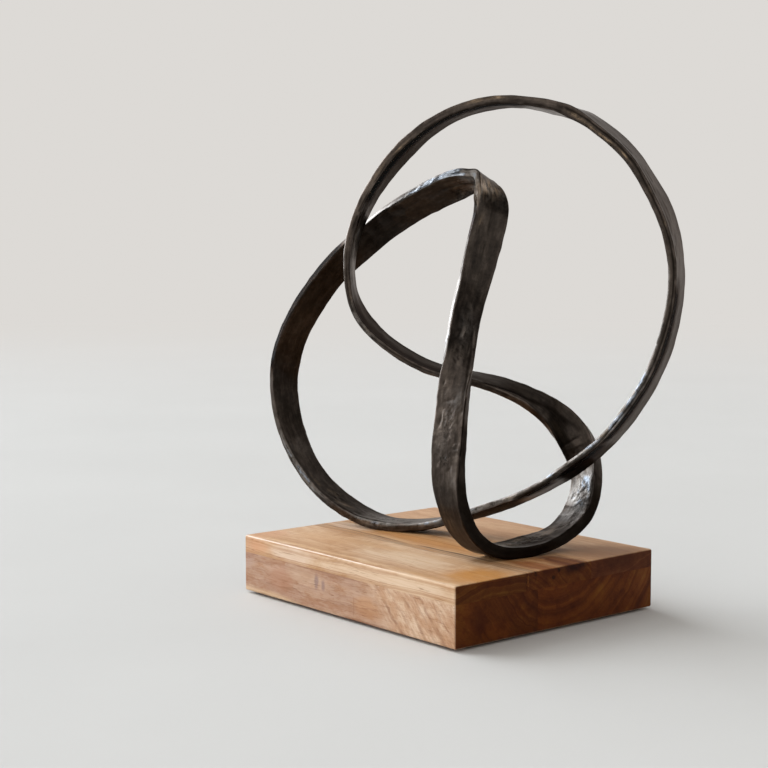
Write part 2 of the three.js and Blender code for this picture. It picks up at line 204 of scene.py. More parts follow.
# the end of the arm rolls a little about its left edge
roll = -0.11 * (0.5 + 0.5 * np.cos(np.pi * np.clip(np.abs(S - 15.7) / 0.9, 0, 1)))
P = P - N * (HW * np.sin(roll))[:, None]
W, N = W * np.cos(roll)[:, None] + N * np.sin(roll)[:, None], N * np.cos(roll)[:, None] - W * np.sin(roll)[:, None]
step = np.linalg.norm(np.roll(P, -1, 0) - P, axis=1)
ALONG = np.concatenate([[0.0], np.cumsum(step)[:-1]])     # mm along the bar
LENGTH = float(step.sum())


def along_of(s):
    """mm along the bar at station s."""
    return float(np.interp(s % COUNT, np.append(S, COUNT), np.append(ALONG, LENGTH)))


def wrap(d):
    """Shortest signed distance along the closed bar."""
    return (d + LENGTH / 2) % LENGTH - LENGTH / 2


def dents(along, across, half, pitch, depth, seed, rows):
    """Hammer marks: shallow overlapping hollows on a strip of the given half width.

    The surface is the lower envelope of round-bottomed hollows, so it has soft
    ridges between them. Negative is into the metal. Mean close to zero."""
    rnd = np.random.RandomState(seed)
    count = max(3, int(round(LENGTH / pitch)))
    out = np.full(along.shape, 1e9)
    second = np.full(along.shape, 1e9)
    size = (pitch * 0.55) ** 2
    for row in range(rows):
        base = (np.arange(count) + 0.5 * (row % 2)) * LENGTH / count
        c_along = base + rnd.uniform(-0.34, 0.34, count) * pitch
        c_across = ((row + 0.5) / rows * 2 - 1 + rnd.uniform(-0.35, 0.35, count) / rows) * half
        c_level = rnd.uniform(0.0, 0.5, count)
        c_turn = rnd.uniform(-0.5, 0.5, count)
        c_long = rnd.uniform(0.65, 1.5, count)
        index = np.floor(along / (LENGTH / count)).astype(int)
        for o in (-2, -1, 0, 1, 2):
            i = (index + o) % count
            da = wrap(along - c_along[i])
            dx = across - c_across[i]
            ca, sa = np.cos(c_turn[i]), np.sin(c_turn[i])
            u = (da * ca + dx * sa) / c_long[i]
            w = (-da * sa + dx * ca)
            h = (u * u + w * w) / size + c_level[i]
            lower = np.minimum(out, h)
            second = np.minimum(second, np.maximum(out, h))
            out = lower
    # soft ridge where two hollows meet
    k = 0.35
    g = np.clip(0.5 + 0.5 * (second - out) / k, 0, 1)
    soft = second * (1 - g) + out * g - k * g * (1 - g)
    return depth * (np.clip(soft, 0, 2.2) - 0.75)


# ---- section of the bar, one row of points for each ring ----------------------------
N_WIDE, N_NARROW, N_CORNER = 24, 7, 4
A1 = ALONG[:, None]


def corner_radius(seed, wide):
    """Radius of one rounded arris in mm; wide is (first station, last station, radius) where it is more rounded."""
    u = ALONG
    r = (1.25 + 0.45 * lattice_noise(u / LENGTH * 110, 0 * u, 110, 1, seed)
         + 0.40 * lattice_noise(u / LENGTH * 300, 0 * u, 300, 1, seed + 1))
    for s0, s1, radius in wide:
        a0 = along_of(s0)
        d = (u - a0 + 10.0) % LENGTH - 10.0
        length = (along_of(s1) - a0) % LENGTH
        inside = smooth((d + 10) / 10) * smooth((length + 10 - d) / 10) * (d < length + 10)
        r = r + inside * (radius - 1.25)
    return np.clip(np.minimum(r, HT * 0.86), 0.55, 3.4)


RC = [corner_radius(11, [(11.5, 15.6, 1.6), (15.8, 16.8, 2.4), (42.0, 47.5, 2.1)]), corner_radius(13, [(11.5, 15.8, 1.2), (16.1, 16.8, 2.7), (52.0, 57.5, 2.6), (57.6, 64.5, 3.1), (66.0, 69.5, 2.2)]),
      corner_radius(15, []), corner_radius(17, [])]       # at c1, c2, c3, c4
# c1 is between the left edge and the back face, c2 left edge and front face,
# c3 front face and right edge, c4 back face and right edge.
SX, SY = (1, 1, -1, -1), (-1, 1, 1, -1)
xs, ys, nxs, nys = [], [], [], []


def straight(x0, y0, x1, y1, n, nx, ny):
    for i in range(n):
        t = i / n
        xs.append(x0 * (1 - t) + x1 * t)
        ys.append(y0 * (1 - t) + y1 * t)
        nxs.append(np.full(NR, float(nx)))
        nys.append(np.full(NR, float(ny)))


def corner(i, start):
    r = RC[i]
    cx, cy = SX[i] * (HW - r), SY[i] * (HT - r)
    for j in range(N_CORNER):
        a = start + math.pi / 2 * j / N_CORNER
        xs.append(cx + r * math.cos(a))
        ys.append(cy + r * math.sin(a))
        nxs.append(np.full(NR, math.cos(a)))
        nys.append(np.full(NR, math.sin(a)))


straight(HW, -HT + RC[0], HW, HT - RC[1], N_NARROW, 1, 0)
corner(1, 0.0)
straight(HW - RC[1], HT, -HW + RC[2], HT, N_WIDE, 0, 1)
corner(2, math.pi / 2)
straight(-HW, HT - RC[2], -HW, -HT + RC[3], N_NARROW, -1, 0)
corner(3, math.pi)
straight(-HW + RC[3], -HT, HW - RC[0], -HT, N_WIDE, 0, -1)
corner(0, math.pi * 1.5)
X, Y = np.stack(xs, 1), np.stack(ys, 1)
NX, NY = np.stack(nxs, 1), np.stack(nys, 1)
NS = X.shape[1]
AA = np.repeat(A1, NS, 1)
HALF_W = HW[:, None]
HALF_T = HT[:, None]


def near(s, reach):
    """1 at station s, falling smoothly to 0 at reach mm along the bar."""
    return 1 - smooth(np.abs(wrap(A1 - along_of(s))) / reach)


def face_field(across, half, seed, pitch, depth, rows):
    """Relief of one wide face in mm."""
    force = np.clip(0.85 + 0.75 * lattice_noise(AA / LENGTH * 26, 0 * AA, 26, 1, seed + 7), 0.25, 1.7)
    d = dents(AA, across, 14.0, pitch, depth, seed, rows) * force
    d = d + 0.16 * lattice_noise(AA / LENGTH * 90, across / 11 + 40, 90, 90, seed + 4)
    d = d + 0.07 * lattice_noise(AA / LENGTH * 330, across / 6.5 + 40, 330, 90, seed + 5)
    # faint ridges drawn along the bar
    d = d + 0.035 * lattice_noise(AA / LENGTH * 130, across / 1.5 + 40, 130, 90, seed + 6)
    return d


def edge_field(across, seed):
    force = np.clip(0.9 + 0.9 * lattice_noise(AA / LENGTH * 40, 0 * AA, 40, 1, seed + 7), 0.2, 1.9)
    d = dents(AA, across, 4.0, 14.0, 0.17, seed, 1) * force
    d = d + 0.30 * lattice_noise(AA / LENGTH * 62, across / 9 + 20, 62, 60, seed + 4)
    d = d + 0.10 * lattice_noise(AA / LENGTH * 260, across / 3 + 20, 260, 60, seed + 5)
    return d


# ---- listed marks -----------------------------------------------------------------
WEAR_AND_REFLECTION = np.zeros((NR, NS))      # rubbed through to a warm brown, and in places a painted warm reflection of the wood
DARK = np.zeros((NR, NS))      # oxide in hollows, and painted shade in creases, under the arm and on sides that look down
ROUGH = np.zeros((NR, NS))     # coarse dressed or pitted patches
POLISH_AND_HIGHLIGHT = np.zeros((NR, NS))      # bare and polished metal, and painted highlight where edges face the light
ON = {"front": (NY > 0.5), "back": (NY < -0.5), "left": (NX > 0.5), "right": (NX < -0.5)}
FIELD = {"wear_and_reflection": WEAR_AND_REFLECTION, "dark": DARK, "rough": ROUGH, "spot": POLISH_AND_HIGHLIGHT}


def across_of(side):
    return X if side in ("front", "back") else Y


def patch(s, side, at, long, wide, turn=0.0):
    """Soft oval on one side of the bar: 1 in its middle, 0 outside."""
    da = wrap(AA - along_of(s))
    dx = across_of(side) - at
    c, k = math.cos(turn), math.sin(turn)
    u, v = (da * c + dx * k) / long, (-da * k + dx * c) / wide
    return np.exp(-(u * u + v * v) * 1.4) * ON[side]


def span(s0, s1, soft=8.0):
    """1 between two stations, 0 elsewhere, with ends that fade over soft mm."""
    a0 = along_of(s0)
    length = (along_of(s1) - a0) % LENGTH
    d = (AA - a0 + soft) % LENGTH - soft
    return smooth((d + soft) / soft) * smooth((length + soft - d) / soft) * (d < length + soft)


def line(side, stops, wide, seed, wander=0.5, broken=0.0):
    """Thin line along the bar through (station, across) stops: 1 on it, 0 off it."""
    a0 = along_of(stops[0][0])
    a = [(along_of(s) - a0) % LENGTH for s, _ in stops]
    d = (AA - a0 + 12.0) % LENGTH - 12.0
    mid = np.interp(d, a, [v for _, v in stops]) + wander * lattice_noise(AA / LENGTH * 150, 0 * AA, 150, 1, seed)
    width = wide * (1 + 0.35 * lattice_noise(AA / LENGTH * 260, 0 * AA, 260, 1, seed + 1))
    m = np.exp(-((across_of(side) - mid) / width) ** 2 * 1.4) * smooth((d + 5) / 5) * smooth((a[-1] + 5 - d) / 5) * (d < a[-1] + 5) * ON[side]
    if broken:
        m = m * smooth((lattice_noise(AA / LENGTH * 230, 0 * AA, 230, 1, seed + 2) + 1.15 - 2 * broken) / 0.5)
    return m


def speckle(cells, seed):
    """Fine irregular mask along the bar, 0..1."""
    return smooth((lattice_noise(AA / LENGTH * cells, (X + Y) / 2.2 + 40, cells, 90, seed) + 0.35) / 0.7)


# soft ovals: field, strength, station, side, across, half length, half width, turn
OVALS = [
    # the apex and its narrow edge, handled bare, with painted highlight
    ("spot", 2.30, 15.1, "left", 2.5, 14, 4.0, 0.0), ("spot", 2.60, 15.38, "left", 3.2, 10, 3.2, 0.0), ("spot", 2.40, 15.25, "left", -1.5, 12, 4.0, 0.0), ("dark", 0.35, 13.75, "left", -1.5, 9, 4.5, 0.0), ("dark", 0.32, 13.3, "left", -1.5, 12, 3.6, 0.0), ("spot", 0.75, 16.1, "left", 1.0, 12, 6, 0.0), ("spot", 0.90, 16.6, "left", 2.0, 10, 5.0, 0.0),
    ("spot", 0.62, 16.6, "back", 12.6, 8, 2.8, 0.0), ("spot", 0.45, 16.62, "back", -2.0, 8, 8.0, 0.0), ("spot", 0.50, 16.82, "back", -9.0, 8, 7.0, 0.0), ("spot", 0.40, 16.38, "back", 4.0, 8, 9.0, 0.0), ("wear_and_reflection", 0.85, 16.55, "back", -2.0, 9, 14.0, 0.0), ("wear_and_reflection", 0.70, 16.7, "left", 0.0, 10, 7.0, 0.0), ("wear_and_reflection", 0.70, 16.6, "back", 12.0, 10, 3.0, 0.0),
    ("spot", 0.55, 15.6, "front", -8.0, 14, 9, 0.0), ("spot", 0.40, 15.2, "front", -11.5, 12, 3.5, 0.0),
    ("spot", 2.10, 14.55, "left", 1.5, 15, 5, 0.0), ("spot", 1.70, 14.2, "left", 1.5, 9, 5, 0.0), ("spot", 0.55, 13.9, "left", 1.5, 14, 6, 0.0), ("spot", 0.62, 13.3, "left", 2.5, 15, 4, 0.0), ("spot", 0.55, 12.4, "left", 0.5, 15, 5, 0.0),
    ("spot", 0.35, 14.85, "front", 12.6, 16, 2.2, 0.0), ("spot", 0.25, 13.6, "front", 12.6, 12, 1.8, 0.0),
    # the inner side of the small loop: painted highlight on bare metal with small black pits
    ("spot", 0.95, 33.55, "front", 7.0, 11, 9, 0.0), ("spot", 1.00, 33.9, "front", -4.0, 12, 12, 0.0), ("spot", 0.90, 33.2, "front", -4.0, 8, 11, 0.0), ("spot", 0.25, 32.6, "front", 4.0, 12, 10, 0.0),
    ("spot", 0.32, 34.5, "front", 4.0, 6, 8, 0.0),
    # painted highlight on the narrow edge high on the upright, facing the window
    ("spot", 0.62, 21.0, "left", 0.0, 34, 9, 0.0), ("spot", 0.50, 19.7, "left", 0.0, 22, 9, 0.0), ("spot", 0.80, 22.9, "left", 0.0, 14, 8, 0.0), ("spot", 0.80, 22.2, "left", 0.0, 22, 9, 0.0),
    ("dark", 0.45, 18.5, "left", 0.0, 18, 8, 0.0),
    # other bright rubs with painted highlights; low on the left and on the strand the warm rub is also a painted
    # reflection of the wood
    ("spot", 0.30, 20.3, "left", 0.0, 22, 6, 0.0), ("spot", 0.40, 22.4, "left", 0.0, 16, 6, 0.0), 
    ("spot", 1.20, 66.5, "left", 2.4, 18, 2.2, 0.0), ("spot", 0.72, 0.4, "front", 2.0, 26, 11, 0.0), ("spot", 0.40, 67.4, "front", 4.0, 22, 7, 0.0), ("spot", 0.60, 0.3, "left", 2.6, 26, 2.2, 0.0), ("spot", 1.15, 0.8, "left", 1.8, 20, 2.6, 0.0), ("spot", 1.25, 3.6, "left", 0.8, 26, 3.2, 0.0), ("spot", 0.90, 4.4, "left", 0.3, 22, 3.0, 0.0), ("wear_and_reflection", 0.40, 3.6, "left", 0.5, 18, 2.4, 0.0), ("wear_and_reflection", 0.35, 0.8, "left", 1.6, 16, 2.2, 0.0),
    ("spot", 0.80, 15.4, "left", 1.0, 10, 3.0, 0.0), ("spot", 0.90, 63.25, "left", -1.9, 11, 1.6, 0.0), ("spot", 0.80, 46.1, "front", -2.0, 12, 6.0, 0.0), ("wear_and_reflection", 0.40, 46.0, "front", 0.0, 12, 8.0, 0.0), ("spot", 0.70, 45.1, "left", -3.2, 14, 1.4, 0.0),
    ("spot", 0.80, 33.45, "front", -10.0, 11, 4.6, 0.0), ("spot", 0.80, 13.25, "left", 4.4, 14, 1.7, 0.0), ("spot", 0.50, 13.5, "front", 12.8, 12, 1.6, 0.0), ("spot", 0.80, 45.9, "front", 0.0, 14, 9.0, 0.0), ("spot", 0.62, 45.4, "front", 0.0, 12, 8.0, 0.0),
    ("spot", 1.75, 61.3, "left", 0.3, 20, 2.8, 0.0), ("spot", 1.75, 62.15, "left", 0.8, 10, 2.4, 0.0), ("spot", 1.60, 60.6, "left", 0.6, 12, 2.4, 0.0), ("wear_and_reflection", 0.55, 61.9, "left", 0.8, 18, 2.0, 0.0), ("spot", 0.55, 42.9, "left", 0.2, 20, 3.0, 0.0),
    ("spot", 0.75, 30.6, "front", 4.0, 16, 9, 0.0), ("spot", 0.60, 29.6, "front", 3.0, 14, 8, 0.0), ("spot", 0.60, 31.6, "front", 3.0, 16, 10, 0.0),
    ("spot", 0.35, 15.5, "front", 7.0, 10, 6, 0.0), ("spot", 0.35, 67.0, "front", 9.5, 12, 3.0, 0.0), ("spot", 0.28, 0.4, "front", 5.0, 12, 4.0, 0.0),
    ("spot", 0.30, 1.4, "front", 10.0, 9, 2.6, 0.0), ("spot", 0.50, 57.9, "left", 3.4, 20, 1.6, 0.0), ("spot", 1.15, 60.3, "left", 1.6, 24, 4.0, 0.0), ("spot", 1.05, 61.4, "left", 0.8, 20, 4.2, 0.0),
    ("spot", 0.90, 62.4, "left", 1.2, 22, 3.4, 0.0), ("spot", 0.95, 63.45, "left", 1.2, 14, 3.4, 0.0), ("spot", 0.40, 64.4, "left", 1.2, 22, 3.4, 0.0), ("spot", 0.75, 65.2, "left", 1.4, 20, 3.0, 0.0), ("spot", 0.60, 59.2, "left", 3.0, 22, 1.8, 0.0),
    ("spot", 0.30, 59.3, "left", 3.2, 12, 1.1, 0.0), ("spot", 0.35, 63.2, "left", 1.4, 13, 1.6, 0.0), ("dark", 0.35, 45.1, "left", -1.9, 26, 1.0, 0.0), ("spot", 1.20, 45.1, "left", -4.2, 26, 0.9, 0.0), ("spot", 0.50, 45.1, "front", 5.0, 18, 7.0, 0.0), ("spot", 0.24, 21.6, "back", -2.0, 22, 9, 0.0), ("spot", 0.12, 55.8, "back", 0.0, 90, 14, 0.0), ("spot", 0.10, 59.6, "back", -3.0, 60, 12, 0.0),
    # warm rubs on the ring; on the strand and low on the left they also stand for a painted warm reflection of the wood
    ("wear_and_reflection", 1.00, 48.1, "left", 1.7, 8, 1.1, 0.0), ("wear_and_reflection", 0.62, 47.5, "left", 0.5, 9, 1.5, 0.0), ("wear_and_reflection", 0.94, 49.75, "left", -1.6, 8, 1.4, 0.0),
    ("wear_and_reflection", 1.00, 50.3, "left", -1.9, 7, 1.2, 0.0), ("wear_and_reflection", 1.00, 52.75, "left", 0.2, 8, 1.9, 0.0), ("wear_and_reflection", 0.72, 53.35, "left", 1.2, 9, 1.8, 0.0), ("wear_and_reflection", 0.90, 53.66, "left", 0.8, 6, 1.3, 0.0),
    ("wear_and_reflection", 1.00, 53.95, "left", 0.7, 8, 1.4, 0.0), ("wear_and_reflection", 1.00, 54.5, "left", 0.2, 8, 1.2, 0.0), ("wear_and_reflection", 0.50, 55.6, "left", -1.6, 7, 1.0, 0.0),
    ("wear_and_reflection", 0.50, 56.4, "left", -2.0, 6, 0.9, 0.0), ("wear_and_reflection", 0.69, 61.3, "left", 2.6, 13, 1.5, 0.0), ("wear_and_reflection", 0.44, 60.4, "left", 2.0, 9, 1.2, 0.0),
    ("wear_and_reflection", 0.44, 44.0, "left", 0.6, 10, 1.1, 0.0), ("wear_and_reflection", 0.38, 42.6, "left", 1.2, 9, 1.1, 0.0), ("wear_and_reflection", 0.44, 41.5, "left", 0.4, 9, 1.0, 0.0),
    ("wear_and_reflection", 0.69, 2.2, "front", 6.0, 9, 3.0, 0.25), ("wear_and_reflection", 0.50, 2.75, "front", 1.5, 7, 3.5, 0.2), ("wear_and_reflection", 0.38, 3.3, "front", 7.0, 8, 2.0, 0.0),
    ("wear_and_reflection", 0.31, 17.5, "back", 9.5, 9, 3.0, 0.1), ("wear_and_reflection", 0.28, 15.2, "front", -2.0, 9, 6.0, 0.0), ("wear_and_reflection", 0.28, 36.3, "front", 9.0, 10, 3.0, 0.0),
    ("wear_and_reflection", 0.38, 64.3, "left", 0.6, 8, 1.5, 0.0), ("wear_and_reflection", 0.31, 10.6, "left", -1.0, 8, 2.0, 0.0),
    ("wear_and_reflection", 1.00, 30.8, "front", 6.0, 14, 8.0, 0.0), ("wear_and_reflection", 1.00, 29.9, "front", 1.0, 12, 9.0, 0.0), ("wear_and_reflection", 1.00, 31.6, "front", 4.0, 12, 9.0, 0.0), ("spot", 0.62, 31.8, "front", 1.0, 9, 10.0, 0.0), ("spot", 0.55, 30.9, "front", 4.0, 12, 8.0, 0.0),
    ("wear_and_reflection", 0.40, 27.8, "back", 6.0, 14, 6.0, 0.0), ("wear_and_reflection", 0.40, 28.7, "back", 9.0, 12, 4.0, 0.0), ("wear_and_reflection", 0.30, 17.6, "left", 0.0, 12, 5.0, 0.0),
    # coarse patches: weld dressings and hammered scale
    ("rough", 0.55, 33.7, "front", -2.0, 20, 14, 0.0), ("rough", 0.60, 30.4, "front", 1.0, 22, 14, 0.0), ("rough", 0.55, 25.4, "back", 0.0, 34, 12, 0.0), ("rough", 0.35, 22.5, "back", 0.0, 30, 12, 0.0),
    ("rough", 0.50, 0.2, "front", 0.0, 50, 12, 0.0), ("rough", 0.55, 14.4, "left", 0.0, 50, 4, 0.0), ("rough", 0.45, 61.5, "left", 0.0, 70, 4, 0.0),
    ("rough", 1.00, 26.25, "back", 0.5, 7.5, 7.5, 0.3), ("rough", 0.70, 26.0, "back", -8.0, 6.0, 4.5, 0.0), ("rough", 0.45, 24.3, "back", 6.0, 7, 4.0, 0.0),
    ("rough", 0.20, 33.75, "front", -7.0, 9, 6.0, 0.0), ("rough", 0.25, 34.2, "front", 4.0, 8, 8.0, 0.0), ("spot", 0.40, 32.9, "front", -2.0, 10, 11.0, 0.0), ("rough", 0.35, 33.2, "front", 4.0, 7, 8.0, 0.0),
    ("rough", 0.75, 31.0, "front", 0.0, 17, 13, 0.0), ("rough", 0.55, 29.9, "front", 3.0, 12, 10, 0.0), ("rough", 0.40, 32.2, "front", -4.0, 9, 9, 0.0),
    ("rough", 0.45, 35.1, "front", 3.0, 8, 13, 0.0), ("rough", 0.60, 64.7, "left", 0.5, 9, 4, 0.0), ("rough", 0.55, 2.6, "front", 3.0, 12, 12, 0.0),
    ("rough", 0.50, 52.9, "left", 0.0, 10, 3, 0.0), ("rough", 0.40, 18.2, "back", 4.0, 9, 9, 0.0), ("rough", 0.45, 13.6, "left", 1.5, 22, 4, 0.0),
    ("rough", 0.35, 8.6, "left", 0.0, 40, 4, 0.0), ("rough", 0.40, 63.4, "left", 0.0, 14, 3, 0.0), ("rough", 0.30, 49.9, "left", -1.5, 14, 2, 0.0),
    # painted shade under the arm and inside the left arch, and darker skin in other places
    ("dark", 0.45, 39.8, "front", 6.0, 30, 12, 0.0), ("dark", 0.50, 38.4, "back", 0.0, 40, 15, 0.0), ("dark", 0.55, 29.0, "right", 0.0, 30, 6, 0.0),
    ("dark", 0.35, 27.6, "right", 0.0, 18, 5, 0.0), ("dark", 0.40, 36.4, "front", 2.0, 20, 12, 0.0), ("dark", 0.22, 33.9, "front", -12.8, 9, 1.2, 0.0), ("dark", 0.40, 31.6, "back", -13.2, 24, 2.2, 0.0), ("dark", 0.40, 33.9, "back", -13.2, 18, 2.0, 0.0),
    ("dark", 0.40, 30.6, "front", -3.0, 9, 3, 0.4), ("dark", 0.30, 31.5, "front", 5.0, 7, 2, -0.3), ("dark", 0.70, 25.1, "back", -8.5, 26, 5.5, 0.0), ("dark", 0.45, 27.1, "back", -8.0, 36, 5.0, 0.0), ("spot", 0.08, 25.9, "back", 6.0, 20, 7.0, 0.0), ("dark", 0.20, 24.9, "back", 3.0, 34, 10, 0.0), ("dark", 0.25, 35.8, "front", 12.8, 10, 2.4, 0.0), ("dark", 0.50, 25.3, "back", 10.8, 13, 3.0, 0.0), ("dark", 0.45, 38.2, "front", 2.0, 20, 12, 0.0), ("dark", 0.35, 32.5, "front", 2.0, 5, 10, 0.25), ("dark", 0.45, 19.2, "left", 0.0, 7, 6.0, 0.0), ("spot", 0.9, 33.7, "front", -9.0, 9, 5.0, 0.0), ("dark", 0.70, 36.2, "front", -9.0, 20, 6.5, 0.0),
]
# hollows and ridges hammered in: depth in mm (below zero stands proud), then as above
DINTS = [
    (0.50, 21.85, "back", 3.2, 7.5, 2.6, 0.30), (0.42, 22.45, "back", -6.2, 10, 1.7, 0.06), (-0.26, 21.75, "back", -1.6, 6.0, 2.2, 0.25),
    (0.30, 21.1, "back", 4.5, 3.8, 4.2, 0.5), (0.26, 20.7, "back", -1.5, 4.5, 3.0, -0.5), (0.30, 23.2, "back", 1.5, 6.5, 3.4, 0.4),
    (-0.20, 23.0, "back", -3.4, 7, 2.0, 0.1), (0.50, 23.9, "back", 8.6, 3.4, 1.1, 0.05), (-0.08, 23.95, "back", 6.9, 3.0, 0.9, 0.05),
    (0.22, 24.55, "back", 1.0, 2.2, 5.0, 0.2), (0.55, 25.15, "back", 7.8, 7.4, 1.05, 0.10), (-0.10, 25.2, "back", 5.5, 6.0, 1.0, 0.10),
    (-0.24, 25.15, "back", -4.5, 6.5, 1.3, -0.45), (0.26, 25.0, "back", -1.5, 6.5, 2.2, -0.35), (0.34, 26.25, "back", 1.0, 3.6, 3.2, 0.2),
    (0.26, 26.05, "back", -9.0, 1.2, 3.6, 0.3), (0.24, 25.9, "back", -9.4, 1.1, 3.2, 0.3), (0.24, 26.2, "back", -8.6, 1.1, 3.4, 0.3),
    (0.30, 26.5, "back", -4.5, 3.0, 2.6, 0.0), (-0.22, 26.4, "back", 5.2, 4.0, 2.2, 0.0),
    # the flat left by a hammer blow below the apex
    (0.34, 17.65, "back", 9.4, 12.5, 4.2, 0.06), (0.42, 16.95, "back", 3.2, 5.0, 3.0, 0.9), (-0.20, 17.3, "back", -2.0, 8.0, 2.0, 0.3),
    (0.26, 18.9, "back", -4.0, 9, 5, 0.2), (0.20, 19.8, "back", 5.0, 9, 5, -0.2), (0.22, 14.6, "front", 1.0, 8, 6, 0.3), (0.26, 15.3, "front", -6.0, 6, 4, 0.6),
    (-0.16, 15.4, "front", 1.0, 7, 1.2, 0.1), (0.24, 13.5, "front", 7.0, 7, 5, 0.0), (0.22, 12.2, "front", 5.0, 8, 5, 0.0),
    # a step where the strip was drawn in, and the crosswise blow above the strand
    (0.45, 22.95, "left", 0.0, 6.5, 6, 0.0), (-0.40, 22.25, "left", 0.0, 5.5, 6, 0.0), (0.20, 35.55, "front", 0.0, 1.6, 16, 0.0), (-0.16, 35.3, "front", 0.0, 1.8, 16, 0.0),
    (0.35, 52.2, "left", -0.4, 7, 2.2, 0.0), (0.30, 47.6, "left", 2.0, 9, 1.6, 0.0), (0.28, 50.8, "left", 1.2, 9, 1.6, 0.0),
    (0.35, 2.3, "front", 4.0, 5, 4, 0.4), (0.30, 1.5, "front", 8.0, 6, 3, 0.0), (-0.25, 0.6, "front", 9.5, 9, 2.2, 0.0), (0.30, 67.3, "front", 6.0, 9, 3, 0.0),
    (0.32, 66.0, "left", 1.0, 6, 2.5, 0.0), (0.25, 64.8, "left", 0.0, 4, 3, 0.0), (-0.20, 64.4, "left", 1.0, 3.5, 2, 0.0), (0.30, 63.0, "left", 1.2, 4, 2, 0.0),
    (0.30, 61.0, "left", 3.0, 3.5, 1.6, 0.0), (0.26, 60.2, "left", 3.0, 3.0, 1.6, 0.0), (0.25, 57.4, "left", 3.0, 3.5, 1.4, 0.0),
]


